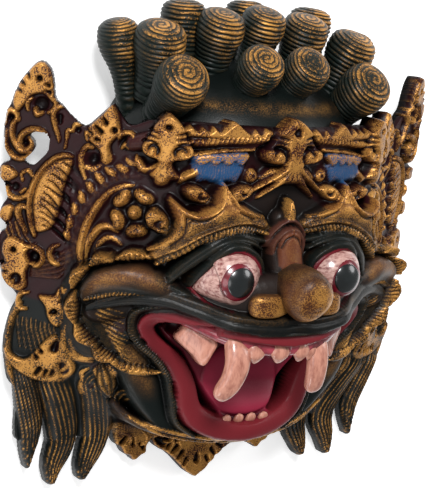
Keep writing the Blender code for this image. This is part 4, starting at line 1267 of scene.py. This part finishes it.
def swept(mesh, points, sides=24, flat=1.0, steps=8, power=2.0):
    # a tapered form along a smooth curve of (x, y, z, radius), flattened towards the viewer
    curve = smoothCurve(points, steps)
    places = [Vector(p[:3]) for p in curve]
    rings = []
    across = None
    for i, place in enumerate(places):
        way = (places[min(i + 1, len(places) - 1)] - places[max(i - 1, 0)]).normalized()
        if across is None:
            across = way.orthogonal() if abs(way.z) > 0.9 else Vector((0, 0, 1))
        across = (across - way * across.dot(way)).normalized()
        third = way.cross(across)
        ring = []
        for k in range(sides):
            angle = 2 * math.pi * k / sides
            c, s = math.cos(angle), math.sin(angle)
            c = math.copysign(abs(c) ** (2 / power), c)
            s = math.copysign(abs(s) ** (2 / power), s)
            off = across * (c * flat) + third * s
            ring.append(mesh.verts.new(place + off * curve[i, 3]))
        rings.append(ring)
    for a, b in zip(rings, rings[1:]):
        for k in range(sides):
            mesh.faces.new([a[k], a[(k + 1) % sides], b[(k + 1) % sides], b[k]])
    for ring, place in ((rings[0], places[0]), (rings[-1], places[-1])):
        tip = mesh.verts.new(place)
        for k in range(sides):
            mesh.faces.new([ring[k], ring[(k + 1) % sides], tip])
    return rings


def cutTooth(mesh, corners, thick):
    # a flat tooth with the given outline and softened edges
    rim = smoothCurve(corners, 5, closed=True)
    middle = rim.mean(0)
    rings = []
    for grown, lift in ((1.0, -thick), (1.0, -1.2), (0.95, 0.0), (0.8, 0.5), (0.72, 0.1),
                        (0.66, 0.5), (0.4, 0.8)):
        ring = middle + (rim - middle) * grown + (0, 0, lift)
        rings.append([mesh.verts.new(place) for place in ring])
    for a, b in zip(rings, rings[1:]):
        for k in range(len(a)):
            mesh.faces.new([a[k], a[(k + 1) % len(a)], b[(k + 1) % len(a)], b[k]])
    for ring in (rings[0], rings[-1]):
        centre = mesh.verts.new(sum((v.co for v in ring), Vector()) / len(ring))
        for k in range(len(ring)):
            mesh.faces.new([ring[k], ring[(k + 1) % len(ring)], centre])


teeth = {
    # outline of the flat side tooth, mirrored to the other side
    "block": [(66, -54, 97), (57, -59, 103), (47.5, -65, 108.5), (50, -73, 108.5), (56, -83, 106),
              (63, -75, 101), (72.5, -65, 94), (70, -59, 95)],
    "blockThick": 7.0,
    # fangs as (across, up, forward, radius) from the gum to the point
    "fangs": [
        ((-38, -60, 117, 9), (-38.5, -69, 122, 9.6), (-40, -79, 125, 9.2), (-43.5, -90, 124.5, 8.4),
         (-47.5, -98, 121.5, 7.4), (-50, -102.5, 119, 5), (-51, -104, 118, 1)),
        ((29.5, -60, 118, 8), (30, -69, 123, 8.4), (30.3, -79, 125, 8.2), (30.6, -90, 124, 7.8),
         (31.4, -99, 121, 7), (32, -103, 119.5, 4.6), (32.2, -104.3, 119, 1))],
    # front teeth as (across, half width)
    "front": [(-25.6, 7.4), (-7.5, 8.4), (10.9, 7.6), (20.6, 5.0)],
    # along a front tooth: up, forward, share of the half width
    "frontShape": [(-60, -3, 0.8), (-66, -1, 1.0), (-70.5, 0, 0.92), (-74.5, -1, 0.55),
                   (-77, -2, 0.24)],
    "frontTip": (-77.8, -2, 0.03),
    "low": (-17, -6, 5, 16),
    "lowShape": [(-138, 78, 3.8), (-134.5, 81, 4.0), (-131.5, 82, 3.2), (-130, 81.5, 0.6)],
}


def makeTeeth(material):
    mesh = bmesh.new()
    for side in (-1, 1):
        cutTooth(mesh, [(side * x, y, z) for x, y, z in teeth["block"]], teeth["blockThick"])
    for fang in teeth["fangs"]:
        swept(mesh, fang, 32, 0.7, 8, 2.6)
    for x, width in teeth["front"]:
        z = 130.5 - 0.005 * x * x
        front = [(x, up, z + forward, share * width) for up, forward, share in teeth["frontShape"]]
        up, forward, end = teeth["frontTip"]
        swept(mesh, front + [(x, up, z + forward, end)], 24, 0.55)
    for x in teeth["low"]:
        swept(mesh, [(x, *place) for place in teeth["lowShape"]], 16, 0.5, power=3)
    return meshPiece("teeth", mesh, material)


gums = {"path": [(0, -66.5, 127, 6), (16, -66, 126, 6), (32, -63, 121, 6.5), (48, -58, 112, 6),
                 (62, -53, 98, 5), (70, -51, 90, 3)]}


def makeGums(material):
    mesh = bmesh.new()
    for side in (-1, 1):
        swept(mesh, [(side * x, y, z, r) for x, y, z, r in gums["path"]], 20, 1.0)
    return meshPiece("gums", mesh, material)


eyes = {
    "out": 46.0,
    "up": -16.0,
    "high": 108.0,
    "radius": 24.0,
    # the white is a drop that runs out to the corner of the lids
    "white": [(30, -12, 98, 18), (38, -14, 104, 22), (46.5, -16, 108.5, 23.6), (53, -19, 107, 18.5),
              (59, -21.5, 105, 12.5), (64, -24, 102.5, 6.6), (68, -25.5, 100.5, 0.5)],
    # discs on the eyeball: half width and how far they stand off, as a share of its radius
    "ring": (14.0, 1.03),
    "pupil": (10.8, 1.075),
    "thick": 5,
    "roundedEdge": 0.8,
}


def addDisc(mesh, side, half, lift):
    # a round cap that follows the eyeball
    verts = ball(mesh, (0, 0, 0), (1, 1, 1), 40)
    middle = Vector((side * eyes["out"], eyes["up"], eyes["high"]))
    for v in verts:
        reach = math.hypot(v.co.x, v.co.y)
        flat = min(reach, 1.0) * half
        top = math.sqrt(max(eyes["radius"] ** 2 - flat ** 2, 0)) * lift
        turn = math.atan2(v.co.y, v.co.x)
        sag = eyes["roundedEdge"] * (1 - math.sqrt(max(1 - reach ** 2, 0)))
        z = top - sag if v.co.z > 0 else top - eyes["thick"]
        v.co = Vector((flat * math.cos(turn), flat * math.sin(turn), z)) + middle


def makeEyes(white, ring, pupil):
    meshes = [bmesh.new() for material in (white, ring, pupil)]
    for side in (-1, 1):
        swept(meshes[0], [(side * x, y, z, r) for x, y, z, r in eyes["white"]], 64, 1.0, 12)
        addDisc(meshes[1], side, *eyes["ring"])
        addDisc(meshes[2], side, *eyes["pupil"])
    names = ("eyeWhites", "eyeRings", "pupils")
    return [meshPiece(*given) for given in zip(names, meshes, (white, ring, pupil))]


def attributesByPlace(obj, paintAt, goldAt):
    data = obj.data
    places = np.empty(len(data.vertices) * 3)
    data.vertices.foreach_get("co", places)
    places = places.reshape(-1, 3)
    normals = np.empty(len(data.vertices) * 3)
    data.vertices.foreach_get("normal", normals)
    normals = normals.reshape(-1, 3)
    paint = paintAt(places, normals)
    colour = data.color_attributes.new("paint", "FLOAT_COLOR", "POINT")
    colour.data.foreach_set("color", np.column_stack([paint, np.ones(len(paint))]).ravel())
    rubbed = data.attributes.new("gold", "FLOAT", "POINT")
    rubbed.data.foreach_set("value", np.ascontiguousarray(goldAt(places, normals),
                                                          dtype=np.float32))


nose = {
    "bulb": [(0.5, -17.5, 112, 10), (1, -18.5, 122, 13.5), (1.5, -20.5, 133, 16.8),
             (2, -23.5, 142, 18.6), (2.5, -26.8, 149, 17.6), (2.8, -29, 153.6, 14),
             (3, -30.3, 156.4, 9.4), (3, -31, 157.7, 4.6), (3, -31.2, 158, 0.5)],
    "nostril": [(6, -32, 128, 6.5), (13, -32.5, 131, 7.6), (20, -33, 133, 8.2),
                (27, -33, 132.5, 8.4), (33, -33, 130.5, 7.8), (36.2, -33, 128.6, 5),
                (37, -33, 128, 0.6)],
    "brown": srgb(66, 36, 22),
    "gold": (0.2, 0.62, 0.3),  # all over, as a painted highlight on the lit tip, on the nostrils
}


def makeNose(material):
    mesh = bmesh.new()
    swept(mesh, nose["bulb"], 48, 1.0, 10, 2.4)
    for side in (-1, 1):
        swept(mesh, [(side * x, y, z, r) for x, y, z, r in nose["nostril"]], 36, 0.95, 8, 4.0)
    made = meshPiece("nose", mesh, material)

    def paintAt(places, normals):
        # painted shade: the underside, which faces away from the lamps, is painted dark; the root
        # is darker too
        under = smoothStep((0.15 - normals[:, 2]) / 0.5)
        root = 0.7 * smoothStep((places[:, 1] + 22) / 20)
        dark = np.clip(under + root, 0, 1)[:, None]
        return nose["brown"] * (1 - dark) + faceDark * dark

    def goldAt(places, normals):
        everywhere, litTipHighlight, onNostrils = nose["gold"]
        # painted highlight: gold laid on where the tip faces the key light
        lit = smoothStep((0.9 * normals[:, 0] + normals[:, 2] - 0.35 * normals[:, 1] + 0.1) / 1.1)
        low = smoothStep((-6 - places[:, 1]) / 18)
        side = smoothStep((np.abs(places[:, 0]) - 17) / 3)
        side = side * smoothStep((normals[:, 2] - 0.1) / 0.5)
        return np.clip(everywhere + litTipHighlight * lit * low + onNostrils * side, 0, 1)

    attributesByPlace(made, paintAt, goldAt)
    return made


cap = {
    "middle": (0, 76, 18),
    "radii": (98, 60, 89),
    "band": {"up": 103.5, "half": 4, "gold": 0.27},  # gold laid on its lower front as a painted highlight
}


def makeCap(material):
    mesh = bmesh.new()
    ball(mesh, cap["middle"], cap["radii"], 48)
    bmesh.ops.bisect_plane(mesh, geom=mesh.verts[:] + mesh.edges[:] + mesh.faces[:], dist=1e-4,
                           plane_co=(0, 0, 0.02), plane_no=(0, 0, -1), clear_outer=True)
    rim = [e for e in mesh.edges if e.is_boundary]
    bmesh.ops.contextual_create(mesh, geom=rim)
    # nothing of it hangs into the hollow
    wide = mask["headHalfWidth"] - mask["rimWall"] + 3
    high = mask["headHalfHeight"] - mask["rimWall"] + 3
    for v in mesh.verts:
        if abs(v.co.x) < wide:
            edge = mask["headMiddleUp"] + high * math.sqrt(1 - (v.co.x / wide) ** 2)
            v.co.y = max(v.co.y, edge)
    made = meshPiece("cap", mesh, material)

    def paintAt(places, normals):
        return np.tile(hairBlack, (len(places), 1))

    def goldAt(places, normals):
        # painted highlight: a band of gold across the dome's lower front
        band = cap["band"]
        found = np.exp(-((places[:, 1] - band["up"]) / band["half"]) ** 2)
        found = found * smoothStep((78 - np.abs(places[:, 0])) / 16)
        return band["gold"] * found * smoothStep((places[:, 2] - 60) / 14)

    attributesByPlace(made, paintAt, goldAt)
    return made


# Knobs of hair, by Geometry Nodes

knobs = {
    "around": 40,
    "along": 160,
    "litFrom": (0.25, 0.45, 0.86),  # the side the light comes from: the gold there is a painted highlight
    # curves along the knob: its width and how far up it each step is
    "wide": ((0, 0), (1, 0), (0.03, 0.7), (0.25, 0.72), (0.455, 0.84), (0.633, 0.98), (0.747, 0.92),
             (0.853, 0.62), (0.93, 0.3)),
    "tall": ((0, 0), (1, 1), (0.04, 0.0), (0.25, 0.28), (0.455, 0.53), (0.633, 0.745),
             (0.747, 0.885), (0.853, 0.972), (0.93, 0.996)),
    "waver": 0.7,  # how unevenly the coils run
    "sharp": 0.55,  # lower gives broader coils and narrower grooves
    # inputs of the node tree, and (middle of the head, way it points, radius) of each knob
    "blunt": {
        "inputs": {"Length": 3.3, "Turns": 19.0, "Groove": 0.1, "Neck": 1.0},
        "places": [((0, 161, 57), (0, 0.93, 0.36), 15.8), ((0, 166, 32), (0, 1, 0), 14.9),
                   ((20, 132, 90), (0.05, 0.66, 0.75), 15.8),
                   ((80, 119, 82), (0.10, 0.62, 0.78), 18.2),
                   ((84, 145, 54), (0.14, 0.90, 0.40), 17.8),
                   ((37, 157, 58), (0.02, 0.93, 0.36), 16.8),
                   ((56, 163, 36), (0.06, 0.99, 0.05), 15.8)],
    },
    "slender": {
        "inputs": {"Length": 5.0, "Turns": 26.0, "Groove": 0.1, "Neck": 0.62},
        "places": [((105, 147, 30), (0.26, 0.96, 0.08), 15.0)],
    },
}


def floatCurve(tree, value, points):
    made = node(tree, "ShaderNodeFloatCurve", {"Value": value})
    curve = made.mapping.curves[0]
    for i, (x, y) in enumerate(points):
        if i < 2:
            curve.points[i].location = (x, y)
        else:
            curve.points.new(x, y)
    for point in curve.points:
        point.handle_type = "AUTO_CLAMPED"
    made.mapping.update()
    return made.outputs[0]


def knobTree(material):
    tree = bpy.data.node_groups.new("coiledKnobs", "GeometryNodeTree")
    sockets = tree.interface
    sockets.new_socket("Geometry", in_out="INPUT", socket_type="NodeSocketGeometry")
    for name in ("Length", "Turns", "Groove", "Neck"):
        sockets.new_socket(name, in_out="INPUT", socket_type="NodeSocketFloat")
    for name in ("Around", "Along"):
        sockets.new_socket(name, in_out="INPUT", socket_type="NodeSocketInt")
    sockets.new_socket("Geometry", in_out="OUTPUT", socket_type="NodeSocketGeometry")
    given = tree.nodes.new("NodeGroupInput").outputs
    result = tree.nodes.new("NodeGroupOutput")
    sums = sumsIn(tree)
    grid = node(tree, "GeometryNodeMeshGrid", {"Size X": 1.0, "Size Y": 1.0,
                                               "Vertices X": given["Along"],
                                               "Vertices Y": given["Around"]})
    place = node(tree, "ShaderNodeSeparateXYZ", {0: node(tree,
                                                         "GeometryNodeInputPosition").outputs[0]})
    run = sums("ADD", place.outputs["X"], 0.5)
    share = sums("ADD", place.outputs["Y"], 0.5)
    turn = sums("MULTIPLY", share, 2 * math.pi)
    wide = floatCurve(tree, run, knobs["wide"])
    tall = floatCurve(tree, run, knobs["tall"])
    stalk = node(tree, "ShaderNodeMapRange", {"Value": run, "From Min": 0.7, "From Max": 0.33},
                 interpolation_type="SMOOTHSTEP").outputs["Result"]
    narrow = sums("MULTIPLY", stalk, sums("SUBTRACT", 1.0, given["Neck"]))
    wide = sums("MULTIPLY", wide, sums("SUBTRACT", 1.0, narrow))
    spot = node(tree, "ShaderNodeCombineXYZ", {"X": sums("MULTIPLY", sums("COSINE", turn), 1.3),
                                               "Y": sums("MULTIPLY", sums("SINE", turn), 1.3),
                                               "Z": sums("MULTIPLY", run, 9.0)})
    waver = node(tree, "ShaderNodeTexNoise", {"Vector": spot.outputs[0], "Scale": 1.6,
                                              "Detail": 1.0}).outputs["Fac"]
    uneven = sums("MULTIPLY_ADD", waver, knobs["waver"], share)
    phase = sums("MULTIPLY_ADD", run, given["Turns"], uneven)
    crest = sums("ABSOLUTE", sums("SINE", sums("MULTIPLY", phase, math.pi)))
    crest = sums("POWER", crest, knobs["sharp"])
    fade = node(tree, "ShaderNodeMapRange", {"Value": run, "From Min": 1.0, "From Max": 0.95})
    lift = sums("MULTIPLY", sums("MULTIPLY", crest, given["Groove"]), fade.outputs["Result"])
    closing = node(tree, "ShaderNodeMapRange", {"Value": wide, "From Max": 0.05})
    radius = sums("MULTIPLY", sums("ADD", wide, lift), closing.outputs["Result"])
    spot = node(tree, "ShaderNodeCombineXYZ", {"X": sums("MULTIPLY", radius, sums("COSINE", turn)),
                                               "Y": sums("MULTIPLY", radius, sums("SINE", turn)),
                                               "Z": sums("MULTIPLY", tall, given["Length"])})
    head = node(tree, "ShaderNodeMapRange", {"Value": run, "From Min": 0.27, "From Max": 0.59,
                                             "To Min": 0.1, "To Max": 1.0},
                                             interpolation_type="SMOOTHSTEP")
    rubbed = sums("MULTIPLY", sums("POWER", crest, 3.2), head.outputs["Result"])
    stored = node(tree, "GeometryNodeStoreNamedAttribute",
                  {"Geometry": grid.outputs["Mesh"], "Name": "gold", "Value": rubbed},
                  data_type="FLOAT", domain="POINT")
    shaped = node(tree, "GeometryNodeSetPosition", {"Geometry": stored.outputs[0],
                                                    "Position": spot.outputs[0]})
    closed = node(tree, "GeometryNodeMergeByDistance",
                  {"Geometry": shaped.outputs[0], "Distance": 0.002})
    closed = node(tree, "GeometryNodeFlipFaces", {"Mesh": closed.outputs[0]})
    facing = node(tree, "GeometryNodeInputNamedAttribute", {"Name": "facing"},
                  data_type="FLOAT_VECTOR")
    size = node(tree, "GeometryNodeInputNamedAttribute", {"Name": "size"}, data_type="FLOAT")
    turned = node(tree, "FunctionNodeAlignRotationToVector", {"Vector": facing.outputs[0]},
                  axis="Z")
    copies = node(tree, "GeometryNodeInstanceOnPoints",
                  {"Points": given["Geometry"], "Instance": closed.outputs[0],
                   "Rotation": turned.outputs[0], "Scale": size.outputs[0]})
    real = node(tree, "GeometryNodeRealizeInstances", {"Geometry": copies.outputs[0]})
    # painted highlight: the knobs keep their gold on the side that faces the light and lose it on
    # the shaded side
    lit = node(tree, "ShaderNodeVectorMath", {0: node(tree, "GeometryNodeInputNormal").outputs[0],
                                              1: knobs["litFrom"]}, operation="DOT_PRODUCT")
    lit = node(tree, "ShaderNodeMapRange", {"Value": lit.outputs["Value"], "From Min": 0.12,
                                            "From Max": 0.95,
                                            "To Min": 0.05}, interpolation_type="SMOOTHSTEP")
    before = node(tree, "GeometryNodeInputNamedAttribute", {"Name": "gold"}, data_type="FLOAT")
    after = node(tree, "GeometryNodeStoreNamedAttribute",
                 {"Geometry": real.outputs[0], "Name": "gold",
                  "Value": sums("MULTIPLY", before.outputs[0], lit.outputs["Result"])},
                 data_type="FLOAT", domain="POINT")
    smooth = node(tree, "GeometryNodeSetShadeSmooth", {"Geometry": after.outputs[0]})
    painted = node(tree, "GeometryNodeSetMaterial",
                   {"Geometry": smooth.outputs[0], "Material": material})
    tree.links.new(painted.outputs[0], result.inputs[0])
    return tree


def makeKnobs(kind, tree):
    inputs = knobs[kind]["inputs"]
    heads = []
    for (x, y, z), (dx, dy, dz), radius in knobs[kind]["places"]:
        for side in (1, -1) if x else (1,):
            heads.append(((side * x, y, z), (side * dx, dy, dz), radius))
    feet, ways = [], []
    for centre, way, radius in heads:
        centre, way = np.array(centre, float), np.array(way, float)
        way /= np.linalg.norm(way)
        tip = centre + 0.8 * radius * way
        feet.append(tip - way * inputs["Length"] * radius)
        ways.append(way)
    data = bpy.data.meshes.new("knobPoints")
    data.from_pydata([tuple(f) for f in feet], [], [])
    data.attributes.new("facing", "FLOAT_VECTOR", "POINT").data.foreach_set(
        "vector", np.array(ways, dtype=np.float32).ravel())
    data.attributes.new("size", "FLOAT", "POINT").data.foreach_set(
        "value", np.array([h[2] for h in heads], dtype=np.float32))
    source = bpy.data.objects.new("knobPoints", data)
    bpy.context.scene.collection.objects.link(source)
    modifier = source.modifiers.new("knobs", "NODES")
    modifier.node_group = tree
    wanted = {**inputs, "Around": knobs["around"], "Along": knobs["along"]}
    for item in tree.interface.items_tree:
        if item.item_type == "SOCKET" and item.in_out == "INPUT" and item.name in wanted:
            modifier[item.identifier] = wanted[item.name]
    bpy.context.view_layer.update()
    graph = bpy.context.evaluated_depsgraph_get()
    mesh = bpy.data.meshes.new_from_object(source.evaluated_get(graph))
    bpy.data.objects.remove(source, do_unlink=True)
    obj = bpy.data.objects.new(kind + "Knobs", mesh)
    bpy.context.scene.collection.objects.link(obj)
    shell = bmesh.new()
    shell.from_mesh(mesh)
    bmesh.ops.recalc_face_normals(shell, faces=shell.faces)
    shell.to_mesh(mesh)
    shell.free()
    mesh.shade_smooth()
    print(kind, "knobs", len(mesh.polygons), "faces")
    return obj


# Into the frame

def fitToFrame(pieces):
    # puts the drawing into the CAD box, in metres, with no point outside it
    low, high = (np.array(corner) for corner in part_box("mask"))
    scale = (high - low) / np.array(mask["drawnSize"])
    spare = 0.0001  # metres
    for obj in pieces:
        places = np.empty(len(obj.data.vertices) * 3)
        obj.data.vertices.foreach_get("co", places)
        places = (places.reshape(-1, 3) - (0, mask["middleUp"], 0)) * scale
        past = np.maximum(low - places, places - high).max(0)
        if past.max() > 0.0002:
            print(obj.name, "past the box by", (past * 1000).round(1))
        places[:, :2] = np.clip(places[:, :2], low[:2] + spare, high[:2] - spare)
        places[:, 2] = np.clip(places[:, 2], low[2], high[2] - spare)
        obj.data.vertices.foreach_set("co", places.ravel())
        obj.data.update()


# The steepest cuts are softened, so that no facet of them stands as a spike
softening = {"steepBlur": 1.0, "from": 0.9, "over": 1.4, "blur": 0.8}

relief = carveAll()
rubbedWood = goldRubbed("rubbedWood")
hairPaint = goldRubbed("hairPaint", 0.45, patches=7.0, plain=srgb(20, 29, 26))
glossy = {name: lacquer(name) for name in paints}
print("materials", 2 + len(glossy))

steep = np.hypot(*np.gradient(relief.high, relief.step))
steep = blur(steep, softening["steepBlur"])
mix = smoothStep((steep - softening["from"]) / softening["over"])
relief.high = relief.high * (1 - mix) + blur(relief.high, softening["blur"]) * mix
front, back = frontAndBack(relief)
inside = relief.inside
keep = np.minimum.reduce([inside[:-1, :-1], inside[1:, :-1],
                          inside[:-1, 1:], inside[1:, 1:]]) > -0.5
paint, gold = rubbedAndShadedPaint(relief)
seam = int(mask["seamAlong"] / mask["gridStep"])
columnCount = keep.shape[0]
pieces = []
for side, word in ((-1, "Left"), (1, "Right")):
    for label, columns in (("face", (0, seam)), ("wing", (seam, columnCount))):
        pieces.append(sheetPiece(label + word, relief, columns, side, rubbedWood, paint, gold, keep,
                                 front, back))
print("sheet pieces", [len(p.data.polygons) for p in pieces])
coiled = knobTree(hairPaint)
pieces += [makeKnobs(kind, coiled) for kind in ("blunt", "slender")]
pieces.append(makeCap(rubbedWood))
pieces.append(makeNose(rubbedWood))
pieces.append(makeTeeth(glossy["toothPaint"]))
pieces.append(makeGums(glossy["gumPaint"]))
pieces += makeEyes(glossy["eyePaint"], glossy["irisPaint"], glossy["pupilPaint"])
print("other pieces", [piece.name for piece in pieces[4:]])
fitToFrame(pieces)
for piece in pieces:
    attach(piece, "root")
    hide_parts("mask")


# Floor, light and camera

studio = {
    "azimuth": 31.9,
    "elevation": 10.5,
    "roll": 4.9,
    "distance": 1152.0,
    "lens": 113.5,
    "sensor": 36,
    "lookAt": (-24.6, -2.6, 60.4),
    "floor": {"half": 3, "under": 0.0005, "colour": 0.9, "roughness": 0.8, "glow": 0.45},
    # place, size, power and, where it isn't the middle of the mask, target
    "lights": {
        "keyLight": ((-0.55, 1.0, 1.3), 0.5, 28),
        "fillLight": ((-1.2, -0.3, 1.3), 1.0, 7),
        "rimLight": ((1.2, 0.6, 0.9), 0.7, 7),
        "chinLight": ((-0.7, -1.2, 0.6), 0.5, 4, (0, -0.15, 0.03)),
    },
    "world": 0.28,
}


def addFloor():
    floor = studio["floor"]
    half, low, grey = floor["half"], -floor["under"], floor["colour"]
    data = bpy.data.meshes.new("floor")
    corners = [(-half, -half), (half, -half), (half, half), (-half, half)]
    data.from_pydata([(x, y, low) for x, y in corners], [], [(0, 1, 2, 3)])
    material, tree, shader = newMaterial("floor")
    shader.inputs["Base Color"].default_value = (grey, grey, grey, 1)
    shader.inputs["Roughness"].default_value = floor["roughness"]
    shader.inputs["Emission Color"].default_value = (1, 1, 1, 1)
    shader.inputs["Emission Strength"].default_value = floor["glow"]
    data.materials.append(material)
    obj = bpy.data.objects.new("floor", data)
    bpy.context.scene.collection.objects.link(obj)


def addLight(name, place, size, power, target=(0, 0, 0.05)):
    data = bpy.data.lights.new(name, "AREA")
    data.shape = "DISK"
    data.size = size
    data.energy = power
    obj = bpy.data.objects.new(name, data)
    obj.location = place
    obj.rotation_euler = (Vector(target) - Vector(place)).to_track_quat("-Z", "Y").to_euler()
    bpy.context.scene.collection.objects.link(obj)


def addCamera():
    turn, rise, roll = (math.radians(studio[k]) for k in ("azimuth", "elevation", "roll"))
    away = Vector((-math.sin(turn) * math.cos(rise), math.sin(rise),
                   math.cos(turn) * math.cos(rise)))
    right = (-away).cross(Vector((0, 1, 0))).normalized()
    up = right.cross(-away)
    rightTurned = right * math.cos(roll) + up * math.sin(roll)
    upTurned = up * math.cos(roll) - right * math.sin(roll)
    middle = Vector((0, mask["middleUp"], 0))
    place = (Vector(studio["lookAt"]) + away * studio["distance"] - middle) / 1000
    data = bpy.data.cameras.new("camera")
    data.lens = studio["lens"]
    data.sensor_width = studio["sensor"]
    obj = bpy.data.objects.new("camera", data)
    turned = Matrix((rightTurned, upTurned, away)).transposed().to_4x4()
    turned.translation = place
    obj.matrix_world = turned
    bpy.context.scene.collection.objects.link(obj)
    bpy.context.scene.camera = obj


addFloor()
for name, given in studio["lights"].items():
    addLight(name, *given)
addCamera()
world = bpy.data.worlds.new("studio")
world.use_nodes = True
background = world.node_tree.nodes["Background"]
background.inputs["Color"].default_value = (1, 1, 1, 1)
background.inputs["Strength"].default_value = studio["world"]
bpy.context.scene.world = world
bpy.context.scene.view_settings.view_transform = "Standard"
print("floor, lights and camera set")
